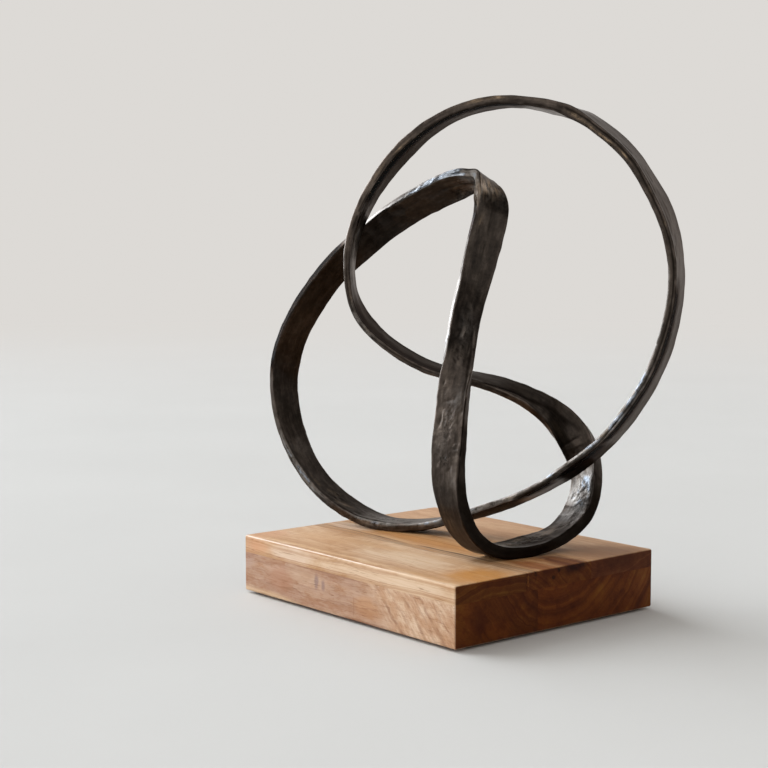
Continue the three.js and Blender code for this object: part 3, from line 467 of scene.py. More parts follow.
def apply_marks():
    field = {"front": D_FRONT, "back": D_BACK, "left": D_LEFT, "right": D_RIGHT}
    for depth, s, side, at, long, wide, turn in DINTS:
        slit = depth > 0.25 and wide < 1.4
        field[side] -= (1.4 if slit else 1.9 if side in ("front", "back") else 1.3) * depth * patch(s, side, at, long, wide, turn)
        if depth > 0.25 and wide < 3.0:
            np.maximum(DARK, (1.0 if slit else 0.8) * patch(s, side, at, long * 0.9, wide * (1.0 if slit else 0.75), turn), out=DARK)
    for key, strength, s, side, at, long, wide, turn in OVALS:
        m = strength * patch(s, side, at, long, wide, turn)
        if key == "wear_and_reflection":
            m = m * (0.35 + 0.65 * speckle(420, 77))
        np.maximum(FIELD[key], m, out=FIELD[key])
    # painted shade: the skin is made darker on the sides that look down, face away from the light or into the ring,
    # most of all beside the crease
    near_left = smooth((X + 2.0) / 11.0)
    for s0, s1, soft, side, plain, beside in (
            (4.4, 9.0, 40.0, "front", 0.42, 0.0), (9.0, 12.8, 40.0, "front", 0.62, 0.0), (13.4, 14.8, 24.0, "front", 0.36, 0.0),
            (40.4, 43.4, 24.0, "front", 0.36, 0.22), (43.8, 45.6, 20.0, "front", 0.08, 0.20), (47.0, 50.8, 16.0, "front", 0.42, 0.42),
            (58.2, 61.8, 20.0, "back", 0.12, 0.60), (62.2, 63.2, 14.0, "back", 0.52, 0.16), (63.6, 64.6, 14.0, "back", 0.20, 0.60),
            (26.9, 33.4, 24.0, "right", 0.85, 0.0), (25.6, 27.2, 14.0, "right", 0.66, 0.0), (26.4, 28.6, 20.0, "back", 0.34, 0.0),
            (65.4, 67.0, 20.0, "back", 0.55, 0.30), (35.3, 36.6, 12.0, "front", 0.0, 0.45), (7.0, 10.7, 24.0, "left", 0.78, 0.0), (31.2, 34.6, 20.0, "right", 0.40, 0.0), (64.4, 65.8, 14.0, "back", 0.66, 0.10),
            (17.35, 17.95, 10.0, "left", 0.62, 0.0)):
        np.maximum(DARK, (plain + beside * near_left) * span(s0, s1, soft) * ON[side], out=DARK)
    # creases that run along the bar beside its arrises: a shallow groove with painted shade along it
    creases = [
        ("left", [(52.4, -1.6), (54.0, -1.9), (56.0, -1.2), (58.0, -1.6), (60.0, -1.2), (61.5, -0.9), (62.6, -1.9), (64.2, -1.6)], 1.20, 21, 0.25, 0.39, 0.0, 0.95),
        ("left", [(46.2, 1.5), (48.0, 2.7), (50.0, 2.6), (52.2, 2.4)], 0.96, 24, 0.3, 0.23, 0.15, 0.85),
        ("left", [(40.8, 0.6), (42.5, 0.0), (44.0, -0.4), (45.8, 0.4)], 0.80, 27, 0.3, 0.16, 0.2, 0.75),
        ("front", [(44.6, 8.6), (46.0, 7.6), (48.0, 9.4), (50.0, 8.8), (51.8, 9.6)], 1.44, 31, 0.6, 0.18, 0.25, 0.80),
        ("front", [(45.0, 2.0), (47.0, 3.0), (49.0, 1.6), (51.0, 2.0)], 1.12, 34, 0.8, 0.13, 0.35, 0.60),
        ("front", [(39.2, 12.2), (38.6, 9.5), (37.8, 5.6), (36.6, -1.9), (35.8, -8.6)][::-1], 3.20, 37, 0.7, 0.34, 0.0, 0.75),
        ("back", [(21.7, -7.8), (22.8, -9.4), (23.8, -10.2), (24.4, -11.2), (25.0, -12.3)], 1.44, 41, 0.5, 0.44, 0.0, 0.90),
        ("right", [(24.6, -3.2), (25.4, -3.2), (26.2, -3.6)], 1.28, 44, 0.3, 0.33, 0.0, 0.95),
        ("front", [(32.4, -13.8), (33.4, -13.8), (34.6, -13.2)], 1.00, 47, 0.3, 0.25, 0.0, 0.55),
        ("back", [(54.0, 8.0), (57.0, 9.0), (60.0, 8.0), (63.0, 9.5)], 1.12, 51, 0.9, 0.13, 0.35, 0.55),
        ("back", [(55.0, 2.0), (58.0, 3.0), (61.0, 1.0)], 0.96, 54, 1.2, 0.10, 0.4, 0.45),
        ("back", [(61.2, 11.8), (62.6, 10.4), (64.0, 11.0)], 1.44, 57, 0.5, 0.29, 0.0, 0.85),
        ("front", [(68.6, 12.4), (69.4, 12.0), (70.2, 11.6)], 1.28, 61, 0.5, 0.20, 0.1, 0.60),
        ("back", [(16.6, 3.0), (17.2, 1.0), (18.4, 0.0)], 1.28, 64, 0.6, 0.21, 0.2, 0.55),
        ("front", [(14.4, 4.0), (15.2, 3.0), (15.8, 2.0)], 1.12, 67, 0.5, 0.18, 0.2, 0.60),
        ("front", [(14.6, -5.0), (15.3, -4.0), (15.9, -4.0)], 1.12, 70, 0.5, 0.18, 0.2, 0.60),
    ]
    for side, stops, wide, seed, wander, depth, broken, strength in creases:
        m = line(side, stops, wide, seed, wander, broken)
        field[side] -= depth * m
        np.maximum(DARK, strength * m, out=DARK)
    # coarse hammering where the metal is dressed
    coarse = 0.42 * lattice_noise(AA / LENGTH * 620, X / 2.0 + 40, 620, 90, 91) + 0.24 * lattice_noise(AA / LENGTH * 1100, X / 1.1 + 40, 1100, 90, 92)
    for side in field:
        field[side] += coarse * ROUGH * ON[side]
    POLISH_AND_HIGHLIGHT[:] = POLISH_AND_HIGHLIGHT * (0.55 + 0.45 * speckle(520, 95))


EDGE = np.clip(1.0 - np.minimum(np.abs(HALF_W - np.abs(X)), 3.0) / 3.0, 0, 1) * np.clip(1.0 - np.minimum(np.abs(HALF_T - np.abs(Y)), 3.0) / 3.0, 0, 1)


D_FRONT = face_field(X, 14, 101, 15.0, 0.20, 2)
D_BACK = face_field(X, 14, 202, 16.0, 0.18, 2)
D_LEFT = edge_field(Y, 303)
D_RIGHT = edge_field(Y, 404)
apply_marks()
OX = np.where(NX > 0, D_LEFT, -D_RIGHT) * np.abs(NX)
OY = np.where(NY > 0, D_FRONT, -D_BACK) * np.abs(NY)
# the wide faces are a little raised along their hammered rims
rim = np.exp(-((HALF_W - np.abs(X)) / 2.6) ** 2) * 0.16
OY = OY + np.sign(NY) * rim * np.abs(NY)
GRID = (P[:, None, :] + W[:, None, :] * (X + OX)[..., None] + N[:, None, :] * (Y + OY)[..., None])
# the feet stand flat on the block
GRID[..., 2] = np.maximum(GRID[..., 2], BLOCK_Z1 + 0.02)
# and nothing stands outside the box of the whole object
GRID = np.clip(GRID, np.array(list(cad_low)) / MM + 0.02, np.array(list(cad_high)) / MM - 0.02)
GRID_N = np.cross(np.roll(GRID, -1, 0) - np.roll(GRID, 1, 0), np.roll(GRID, 1, 1) - np.roll(GRID, -1, 1))
GRID_N /= np.linalg.norm(GRID_N, axis=2)[..., None] + 1e-12
outward = (GRID_N * (W[:, None, :] * NX[..., None] + N[:, None, :] * NY[..., None])).sum(2).mean()
GRID_N *= math.copysign(1.0, outward)

AROUND = np.arange(NS)[None, :] / NS * 2 * math.pi + 0 * A1
BAR_AT = np.stack([AA * 0.001, 0.0115 * np.cos(AROUND), 0.0115 * np.sin(AROUND)], -1)


def bar_mesh(name, s0, s1):
    i0, i1 = int(round(s0 * RINGS)), int(round(s1 * RINGS))
    rings = np.arange(i0, i1 + 1)
    n = len(rings)
    idx = rings % NR
    co = GRID[idx].reshape(-1, 3) * MM
    faces = []
    for r in range(n - 1):
        a, b = r * NS, (r + 1) * NS
        for j in range(NS):
            k = (j + 1) % NS
            faces.append((a + j, a + k, b + k, b + j))
    faces.append(tuple(range(NS - 1, -1, -1)))
    faces.append(tuple((n - 1) * NS + j for j in range(NS)))
    mesh = bpy.data.meshes.new(name)
    mesh.from_pydata(co.tolist(), [], faces)
    mesh.update()
    bm = bmesh.new()
    bm.from_mesh(mesh)
    bmesh.ops.recalc_face_normals(bm, faces=bm.faces[:])
    for f in bm.faces:
        f.smooth = len(f.verts) == 4
    bm.to_mesh(mesh)
    bm.free()
    # the relief's own normals, so that the surface runs on unbroken from one length to the next
    mesh.normals_split_custom_set_from_vertices(GRID_N[idx].reshape(-1, 3).tolist())
    for key, field in (("wear_and_reflection", WEAR_AND_REFLECTION), ("dark", DARK), ("rough", ROUGH), ("edge", EDGE), ("polish_and_highlight", POLISH_AND_HIGHLIGHT)):
        a = mesh.attributes.new(key, "FLOAT", "POINT")
        a.data.foreach_set("value", field[idx].reshape(-1).astype(np.float32))
    a = mesh.attributes.new("bar_at", "FLOAT_VECTOR", "POINT")
    a.data.foreach_set("vector", BAR_AT[idx].reshape(-1).astype(np.float32))
    o = bpy.data.objects.new(name, mesh)
    bpy.context.scene.collection.objects.link(o)
    return o


BACKDROP = (0.722, 0.700, 0.672)        # plain backdrop, linear


# ---- materials ---------------------------------------------------------------------
class Tree:
    """Short way to write a node tree."""

    def __init__(self, name):
        self.mat = bpy.data.materials.new(name)
        self.mat.use_nodes = True
        self.t = self.mat.node_tree
        self.t.nodes.clear()

    def node(self, kind, props=None, **inputs):
        n = self.t.nodes.new("ShaderNode" + kind)
        for k, v in (props or {}).items():
            setattr(n, k, v)
        for k, v in inputs.items():
            self.feed(n, k.replace("_", " "), v)
        return n

    def feed(self, n, key, v):
        sock = n.inputs[int(key[1:])] if key[0] == "i" and key[1:].isdigit() else n.inputs[key]
        if isinstance(v, bpy.types.NodeSocket):
            self.t.links.new(v, sock)
        elif isinstance(v, (tuple, list)) and sock.type == "RGBA" and len(v) == 3:
            sock.default_value = (*v, 1.0)
        else:
            sock.default_value = v

    def math(self, op, a, b=0.0, c=None, clamp=False):
        n = self.node("Math", {"operation": op, "use_clamp": clamp}, i0=a, i1=b)
        if c is not None:
            self.feed(n, "i2", c)
        return n.outputs[0]

    def vmath(self, op, a, b=(0.0, 0.0, 0.0)):
        n = self.node("VectorMath", {"operation": op}, i0=a, i1=b)
        return n.outputs["Value"] if op in ("LENGTH", "DOT_PRODUCT", "DISTANCE") else n.outputs[0]

    def scaled(self, v, s):
        return self.vmath("MULTIPLY", v, s)

    def noise(self, v, scale=1.0, detail=2.0, rough=0.5, distort=0.0, color=False, dims="3D"):
        n = self.node("TexNoise", {"noise_dimensions": dims}, Scale=scale, Detail=detail, Roughness=rough, Distortion=distort)
        self.feed(n, "W" if dims == "1D" else "Vector", v)
        return n.outputs["Color" if color else 0]

    def cells(self, v, scale, feature="F1", metric="EUCLIDEAN", random=1.0, out="Distance"):
        n = self.node("TexVoronoi", {"feature": feature, "distance": metric}, Vector=v, Scale=scale, Randomness=random)
        return n.outputs[out]

    def ramp(self, f, *stops, kind="LINEAR"):
        n = self.node("ValToRGB", None, Fac=f)
        r = n.color_ramp
        r.interpolation = kind
        while len(r.elements) > len(stops):
            r.elements.remove(r.elements[-1])
        while len(r.elements) < len(stops):
            r.elements.new(1.0)
        for e, (p, c) in zip(r.elements, stops):
            e.position = p
            e.color = (c, c, c, 1.0) if isinstance(c, (int, float)) else (*c, 1.0)
        return n.outputs[0]

    def map(self, f, a, b, c=0.0, d=1.0, kind="SMOOTHSTEP"):
        n = self.node("MapRange", {"interpolation_type": kind}, i0=f, i1=a, i2=b, i3=c, i4=d)
        return n.outputs[0]

    def mix(self, f, a, b, kind="MIX"):
        n = self.node("Mix", {"data_type": "RGBA", "blend_type": kind, "clamp_factor": True})
        self.feed(n, "i0", f)
        self.feed(n, "i6", a)
        self.feed(n, "i7", b)
        return n.outputs[2]

    def bump(self, height, strength, distance, normal=None):
        n = self.node("Bump", None, Strength=strength, Distance=distance, Height=height)
        if normal is not None:
            self.feed(n, "Normal", normal)
        return n.outputs[0]

    def attribute(self, name, out="Fac"):
        return self.node("Attribute", {"attribute_name": name}).outputs[out]

    def finish(self, **inputs):
        p = self.node("BsdfPrincipled", None, **inputs)
        o = self.node("OutputMaterial", None, Surface=p.outputs[0])
        o.is_active_output = True
        return self.mat


def metal_material():
    t = Tree("blackened_metal")
    at = t.attribute("bar_at", "Vector")
    pos = t.node("TexCoord").outputs["Object"]
    wear_and_reflection, dark, rough, edge, spot = (t.attribute(k) for k in ("wear_and_reflection", "dark", "rough", "edge", "polish_and_highlight"))
    cloud = t.noise(pos, 26.0, 4.0, 0.62)
    fine = t.noise(pos, 210.0, 5.0, 0.66)
    drawn = t.noise(t.scaled(at, (55.0, 620.0, 620.0)), 1.0, 4.0, 0.62)       # fine lines along the bar
    grit = t.noise(pos, 900.0, 3.0, 0.6)
    flow = t.noise(t.scaled(at, (38.0, 210.0, 210.0)), 1.0, 3.0, 0.55)         # soft streaks left by the fire and the wax
    tone = t.math("ADD", t.math("MULTIPLY", cloud, 0.34), t.math("MULTIPLY", fine, 0.30))
    tone = t.math("ADD", tone, t.math("MULTIPLY", flow, 0.36))
    base = t.ramp(tone, (0.36, (0.012, 0.0085, 0.0063)), (0.50, (0.038, 0.0285, 0.0222)), (0.64, (0.092, 0.072, 0.058)))
    base = t.mix(t.math("MULTIPLY", t.map(drawn, 0.52, 0.72), 0.4), base, (0.084, 0.061, 0.051))
    # warm rubbed metal, in places a painted warm reflection of the wood
    rub_and_reflection = t.math("MULTIPLY", wear_and_reflection, t.map(t.math("ADD", t.math("MULTIPLY", drawn, 0.6), t.math("MULTIPLY", fine, 0.4)), 0.36, 0.60), clamp=True)
    # edges handled and brushed a little lighter
    worn = t.math("MULTIPLY", edge, t.map(t.noise(pos, 75.0, 3.0, 0.6), 0.42, 0.66))
    base = t.mix(t.math("MULTIPLY", worn, 0.50), base, (0.166, 0.128, 0.108))
    # bare metal where the skin is polished away, with a painted bluish highlight
    bare_with_highlight = t.math("MULTIPLY", spot, t.map(t.math("ADD", t.math("MULTIPLY", fine, 0.6), t.math("MULTIPLY", drawn, 0.4)), 0.36, 0.56), clamp=True)
    base = t.mix(bare_with_highlight, base, t.mix(t.map(spot, 0.52, 0.90), (0.300, 0.281, 0.262), (0.242, 0.278, 0.328)))
    # painted highlight: above one the field turns a pale, rougher, bluish-white brushed colour
    brushed_with_highlight = t.math("SUBTRACT", spot, 1.0, clamp=True)
    brushed_with_highlight = t.math("MULTIPLY", brushed_with_highlight, t.map(fine, 0.34, 0.56, 0.35, 1.0), clamp=True)
    base = t.mix(brushed_with_highlight, base, (0.76, 0.81, 0.88))
    base = t.mix(rub_and_reflection, base, (0.345, 0.245, 0.155))
    # oxide in the hollows, and painted shade in the creases and on sides that look down
    base = t.mix(t.math("MULTIPLY", dark, 0.92, clamp=True), base, (0.008, 0.006, 0.0045))
    pits = t.map(t.cells(pos, 520.0, random=1.0), 0.10, 0.34, 0.0, 1.0)
    pit_mask = t.math("MULTIPLY", rough, t.map(fine, 0.44, 0.58), clamp=True)
    sunk = t.math("SUBTRACT", 1.0, t.math("MULTIPLY", t.math("SUBTRACT", 1.0, pits), pit_mask))
    base = t.mix(t.math("SUBTRACT", 1.0, sunk), base, (0.006, 0.005, 0.004))
    # black flecks left in the hollows of the coarse patches
    speck = t.math("MULTIPLY", t.map(t.noise(pos, 430.0, 2.0, 0.6), 0.52, 0.58), t.map(rough, 0.15, 0.75), clamp=True)
    stroke = t.math("MULTIPLY", t.map(t.noise(t.scaled(at, (150.0, 450.0, 450.0)), 1.0, 2.0, 0.6), 0.53, 0.60), t.map(rough, 0.30, 0.90), clamp=True)
    fleck = t.math("MAXIMUM", t.math("MULTIPLY", speck, 0.80), t.math("MULTIPLY", stroke, 0.75))
    base = t.mix(fleck, base, (0.012, 0.0095, 0.008))
    r = t.math("ADD", 0.17, t.math("MULTIPLY", fine, 0.20))
    r = t.math("ADD", r, t.math("MULTIPLY", fleck, 0.22))
    r = t.math("ADD", r, t.math("MULTIPLY", brushed_with_highlight, 0.40))
    r = t.math("ADD", r, t.math("MULTIPLY", cloud, 0.16))
    r = t.math("SUBTRACT", r, t.math("MULTIPLY", spot, 0.05))
    r = t.math("ADD", r, t.math("MULTIPLY", rub_and_reflection, 0.10))
    r = t.math("ADD", r, t.math("MULTIPLY", dark, 0.16), clamp=True)
    # the painted shade and oxide also dull the edge reflection
    tint = t.mix(dark, (0.83, 0.77, 0.735), (0.112, 0.089, 0.081))
    wax = t.math("MULTIPLY", t.math("SUBTRACT", 1.0, t.math("MAXIMUM", dark, fleck)), 0.22, clamp=True)
    h = t.math("ADD", t.math("MULTIPLY", fine, 0.55), t.math("MULTIPLY", drawn, 0.30))
    h = t.math("ADD", h, t.math("MULTIPLY", grit, 0.10))
    n1 = t.bump(h, 0.34, 0.00050)
    h2 = t.math("MULTIPLY", t.noise(pos, 330.0, 4.0, 0.7), rough)
    n2 = t.bump(t.math("ADD", h2, t.math("MULTIPLY", sunk, 0.9)), 0.8, 0.0005, n1)
    return t.finish(Base_Color=base, Metallic=1.0, Roughness=r, Normal=n2, Specular_Tint=tint, **{"Coat_Weight": wax, "Coat_Roughness": 0.20, "Coat_Normal": n1})


def wood_material(name, seed, light, mid, deep, pith, spacing, end_tint, blotches=(), stripes=(), curl=0.0, contrast=1.0,
                  warp=7.0, tilt=0.0, pore=1.0, streak=0.5, mottle=0.3, end_lines=0.6, flame=None):
    """Solid hardwood whose grain runs along X. Sizes in mm; colours are linear.

    pith is (y, z) of the tree's centre, spacing the mean width of a growth ring,
    blotches are (x, y, z, rx, ry, rz, colour, strength), stripes are
    (y, z, half width y, half width z, waviness, colour, strength)."""
    t = Tree(name)
    co = t.node("TexCoord")
    pos = t.scaled(co.outputs["Object"], (1000.0, 1000.0, 1000.0))
    shifted = t.vmath("ADD", pos, (seed * 37.7, seed * 11.3, seed * 5.1))

    def slanted(a, b, c, detail=3.0):
        """Noise whose grains run slantwise: three directions in 1/mm."""
        v = t.node("CombineXYZ", None, X=t.vmath("DOT_PRODUCT", shifted, a), Y=t.vmath("DOT_PRODUCT", shifted, b), Z=t.vmath("DOT_PRODUCT", shifted, c))
        return t.noise(v.outputs[0], 1.0, detail, 0.6)

    def times(colour, k):
        return t.mix(1.0, colour, k, "MULTIPLY")

    slow = t.noise(t.scaled(shifted, (0.0075, 0.020, 0.020)), 1.0, 3.0, 0.5, color=True)
    slow = t.vmath("SUBTRACT", slow, (0.5, 0.5, 0.5))
    bent = t.vmath("ADD", pos, t.scaled(slow, (0.0, warp * 2, warp * 2)))
    wav = t.noise(t.scaled(shifted, (0.045, 0.10, 0.10)), 1.0, 2.0, 0.5, color=True)
    wav = t.vmath("SUBTRACT", wav, (0.5, 0.5, 0.5))
    bent = t.vmath("ADD", bent, t.scaled(wav, (0.0, warp * 0.35, warp * 0.35)))
    sep = t.node("SeparateXYZ", None, Vector=bent)
    dy = t.math("SUBTRACT", sep.outputs[1], pith[0])
    dz = t.math("SUBTRACT", sep.outputs[2], pith[1])
    radius = t.math("SQRT", t.math("ADD", t.math("MULTIPLY", dy, dy), t.math("MULTIPLY", dz, dz)))
    radius = t.math("ADD", radius, t.math("MULTIPLY", sep.outputs[0], tilt))
    ring = t.noise(t.math("MULTIPLY", radius, 1.0 / spacing), 1.0, 3.0, 0.62, dims="1D")
    ring_fine = t.noise(t.math("MULTIPLY", radius, 3.7 / spacing), 1.0, 2.0, 0.5, dims="1D")
    fibre = t.noise(t.scaled(shifted, (0.012, 0.75, 0.75)), 1.0, 4.0, 0.62)
    silk = t.noise(t.scaled(shifted, (0.03, 2.3, 2.3)), 1.0, 3.0, 0.6)
    patch = t.noise(t.scaled(shifted, (0.010, 0.030, 0.030)), 1.0, 3.0, 0.55)
    f = t.math("MULTIPLY", ring, 0.55)
    f = t.math("ADD", f, t.math("MULTIPLY", ring_fine, 0.15))
    f = t.math("ADD", f, t.math("MULTIPLY", fibre, 0.30 * streak))
    f = t.math("ADD", f, t.math("MULTIPLY", patch, 0.25))
    middle = (0.55 + 0.15 + 0.30 * streak + 0.25) * 0.5
    f = t.math("ADD", t.math("MULTIPLY", t.math("SUBTRACT", f, middle), 3.1 * contrast), 0.5, clamp=True)
    base = t.ramp(f, (0.05, light), (0.48, mid), (0.95, deep))
    # broad soft figure that leans across the grain
    figure = slanted((0.030, 0.014, 0.060), (-0.020, 0.075, 0.075), (0.004, 0.03, -0.03))
    base = t.mix(t.math("MULTIPLY", t.map(figure, 0.46, 0.66), mottle), base, times(base, (0.84, 0.70, 0.58)))
    base = t.mix(t.math("MULTIPLY", t.map(figure, 0.50, 0.32), mottle), base, times(base, (1.07, 1.10, 1.14)))
    fleck = slanted((0.13, 0.05, 0.22), (-0.07, 0.28, 0.32), (0.02, 0.1, -0.1))
    base = t.mix(t.math("MULTIPLY", t.map(fleck, 0.47, 0.66), mottle * 0.8), base, times(base, (0.86, 0.76, 0.67)))
    if curl:
        where = t.map(t.noise(t.scaled(shifted, (0.013, 0.03, 0.03)), 1.0, 2.0, 0.5), 0.40, 0.60)
        ripple = slanted((0.20, 0.02, -0.17), (0.02, 0.05, 0.03), (0.01, 0.02, 0.02), 2.0)
        base = t.mix(t.math("MULTIPLY", t.math("MULTIPLY", t.map(ripple, 0.42, 0.62), where), curl), base, times(base, (0.86, 0.78, 0.68)))
    for x, y, z, rx, ry, rz, colour, strength in blotches:
        d = t.vmath("LENGTH", t.vmath("DIVIDE", t.vmath("SUBTRACT", bent, (x, y, z)), (rx, ry, rz)))
        d = t.math("ADD", d, t.math("MULTIPLY", t.math("SUBTRACT", t.noise(t.scaled(shifted, (0.05, 0.12, 0.12)), 1.0, 3.0, 0.6), 0.5), 0.9))
        m = t.math("MULTIPLY", t.map(d, 0.45, 1.25, 1.0, 0.0), strength)
        base = t.mix(m, base, t.mix(t.math("MULTIPLY", t.map(f, 0.35, 0.85), 0.5), colour, times(base, (0.86, 0.72, 0.6))))
    for y, z, wy, wz, wavy, colour, strength in stripes:
        w = t.math("MULTIPLY", t.math("SUBTRACT", t.noise(t.scaled(shifted, (0.011, 0.02, 0.02)), 1.0, 2.0, 0.5), 0.5), wavy * 2)
        a = t.math("DIVIDE", t.math("ADD", t.math("SUBTRACT", sep.outputs[1], y), w), wy)
        b = t.math("DIVIDE", t.math("SUBTRACT", sep.outputs[2], z), wz)
        d = t.math("SQRT", t.math("ADD", t.math("MULTIPLY", a, a), t.math("MULTIPLY", b, b)))
        broken = t.map(t.noise(t.scaled(shifted, (0.02, 0.5, 0.5)), 1.0, 3.0, 0.6), 0.36, 0.60)
        m = t.math("MULTIPLY", t.math("MULTIPLY", t.map(d, 0.2, 1.1, 1.0, 0.0), broken), strength)
        base = t.mix(m, base, colour)
    if flame:
        # the front of the right end, where the grain dives: slanting lines on paler wood
        start, lean, pale, warm, line, lines = flame
        raw = t.node("SeparateXYZ", None, Vector=pos)
        q = t.math("ADD", raw.outputs[0], t.math("MULTIPLY", raw.outputs[2], lean))
        q = t.math("ADD", q, t.math("MULTIPLY", t.math("SUBTRACT", t.noise(t.scaled(shifted, (0.022, 0.04, 0.035)), 1.0, 3.0, 0.5), 0.5), 22.0))
        q = t.math("ADD", q, t.math("MULTIPLY", t.math("SUBTRACT", t.noise(t.scaled(shifted, (0.12, 0.2, 0.16)), 1.0, 2.0, 0.5), 0.5), 5.0))
        shell = t.map(raw.outputs[1], -104.0, -84.0, 1.0, 0.0)
        inside = t.math("MULTIPLY", t.map(q, start - 22.0, start + 26.0), shell)
        tone = slanted((0.055, 0.02, 0.050), (-0.03, 0.06, 0.045), (0.01, 0.03, 0.02))
        inner = t.mix(t.map(tone, 0.38, 0.62), pale, warm)
        strokes = slanted((0.34, 0.1, 0.35), (-0.055, 0.1, 0.055), (0.02, 0.06, 0.02), 2.0)
        inner = t.mix(t.math("MULTIPLY", t.map(strokes, 0.50, 0.66), 0.42), inner, times(inner, (0.72, 0.56, 0.46)))
        specks = slanted((0.85, 0.2, 0.95), (-0.16, 0.3, 0.15), (0.05, 0.1, 0.05), 2.0)
        inner = t.mix(t.math("MULTIPLY", t.map(specks, 0.52, 0.66), 0.50), inner, times(inner, (0.74, 0.58, 0.50)))
        inner = t.mix(t.math("MULTIPLY", t.map(strokes, 0.44, 0.32), 0.30), inner, times(inner, (1.14, 1.18, 1.24)))
        base = t.mix(t.math("MULTIPLY", inside, 0.92), base, inner)
        fade = t.map(t.noise(t.scaled(shifted, (0.06, 0.1, 0.09)), 1.0, 2.0, 0.6), 0.36, 0.56)
        for at, wide, strength in lines:
            m = t.map(t.math("ABSOLUTE", t.math("SUBTRACT", q, at)), wide * 0.25, wide, 1.0, 0.0)
            base = t.mix(t.math("MULTIPLY", t.math("MULTIPLY", m, fade), t.math("MULTIPLY", shell, strength)), base, line)
    base = t.mix(t.math("MULTIPLY", t.map(silk, 0.40, 0.66), 0.40), base, times(base, (0.80, 0.70, 0.60)))
    pores = t.map(t.noise(t.scaled(shifted, (0.075, 1.5, 1.5)), 1.0, 1.0, 0.4), 0.66, 0.74)
    base = t.mix(t.math("MULTIPLY", pores, 0.55 * pore), base, times(base, (0.42, 0.30, 0.22)))
    # end grain drinks the oil and goes dark
    normal = t.node("SeparateXYZ", None, Vector=co.outputs["Normal"])
    end = t.map(t.math("ABSOLUTE", normal.outputs[0]), 0.55, 0.92)
    dots = t.map(t.cells(t.scaled(shifted, (0.2, 1.35, 1.35)), 1.0), 0.10, 0.26, 1.0, 0.0)
    ended = times(base, end_tint)
    late = t.math("ADD", t.math("MULTIPLY", ring, 0.8), t.math("MULTIPLY", ring_fine, 0.2))
    fade_rings = t.map(t.noise(t.scaled(shifted, (0.02, 0.035, 0.045)), 1.0, 2.0, 0.5), 0.36, 0.62, 0.25, 1.0)
    rings = t.math("MULTIPLY", fade_rings, end_lines)
    ended = t.mix(t.math("MULTIPLY", t.map(late, 0.48, 0.72), rings), ended, times(ended, (0.50, 0.40, 0.38)))
    ended = t.mix(t.math("MULTIPLY", t.map(late, 0.50, 0.30), rings), ended, times(ended, (1.45, 1.75, 1.8)))
    stain = slanted((0.02, 0.030, 0.045), (0.01, 0.055, -0.040), (0.01, 0.02, 0.02))
    ended = t.mix(t.math("MULTIPLY", t.map(stain, 0.50, 0.66), 0.75), ended, times(ended, (0.66, 0.52, 0.50)))
    ended = t.mix(t.math("MULTIPLY", t.map(stain, 0.46, 0.34), 0.70), ended, times(ended, (1.22, 1.50, 1.55)))
    ended = t.mix(t.math("MULTIPLY", dots, 0.35), ended, times(ended, (0.45, 0.36, 0.30)))
    base = t.mix(end, base, ended)
    # painted highlight: the eased top edges, not the ends, are made pale and smoother, fading towards the right end
    most = t.math("MAXIMUM", t.math("MAXIMUM", t.math("ABSOLUTE", normal.outputs[0]), t.math("ABSOLUTE", normal.outputs[1])), t.math("ABSOLUTE", normal.outputs[2]))
    painted_edge_highlight = t.map(most, 0.78, 0.94, 1.0, 0.0)
    place = t.node("SeparateXYZ", None, Vector=pos)
    painted_edge_highlight = t.math("MULTIPLY", painted_edge_highlight, t.map(t.math("ABSOLUTE", normal.outputs[0]), 0.12, 0.45, 1.0, 0.0))
    painted_edge_highlight = t.math("MULTIPLY", painted_edge_highlight, t.map(place.outputs[0], 10.0, 90.0, 1.0, 0.15))
    painted_edge_highlight = t.math("MULTIPLY", painted_edge_highlight, t.map(normal.outputs[2], 0.15, 0.50))
    painted_edge_highlight = t.math("MULTIPLY", painted_edge_highlight, t.map(t.noise(t.scaled(shifted, (0.05, 0.05, 0.05)), 1.0, 3.0, 0.6), 0.30, 0.55, 0.45, 1.0))
    base = t.mix(t.math("MULTIPLY", painted_edge_highlight, 0.60), base, (0.80, 0.71, 0.62))
    rough = t.math("ADD", 0.44, t.math("MULTIPLY", fibre, 0.16))
    rough = t.math("ADD", rough, t.math("MULTIPLY", end, 0.16))
    rough = t.math("SUBTRACT", rough, t.math("MULTIPLY", painted_edge_highlight, 0.16))
    h = t.math("ADD", t.math("MULTIPLY", silk, 0.5), t.math("MULTIPLY", t.math("SUBTRACT", 1.0, pores), 0.8))
    n = t.bump(h, 0.22, 0.0003)
    return t.finish(Base_Color=base, Roughness=rough, Normal=n, **{"Specular_IOR_Level": 0.11})


def felt_material():
    t = Tree("felt_pad")
    pos = t.node("TexCoord").outputs["Object"]
    f = t.noise(pos, 1400.0, 4.0, 0.7)
    base = t.ramp(f, (0.3, (0.012, 0.011, 0.010)), (0.7, (0.045, 0.040, 0.036)))
    return t.finish(Base_Color=base, Roughness=0.95, Normal=t.bump(f, 0.8, 0.0006), **{"Sheen_Weight": 0.4, "Sheen_Roughness": 0.5})


def zinc_material():
    t = Tree("zinc_plate")
    pos = t.node("TexCoord").outputs["Object"]
    f = t.noise(pos, 260.0, 4.0, 0.6)
    base = t.ramp(f, (0.3, (0.42, 0.43, 0.44)), (0.7, (0.60, 0.61, 0.62)))
    r = t.math("ADD", 0.26, t.math("MULTIPLY", f, 0.2))
    return t.finish(Base_Color=base, Metallic=1.0, Roughness=r, Normal=t.bump(t.noise(pos, 900.0, 2.0, 0.5), 0.2, 0.0002))


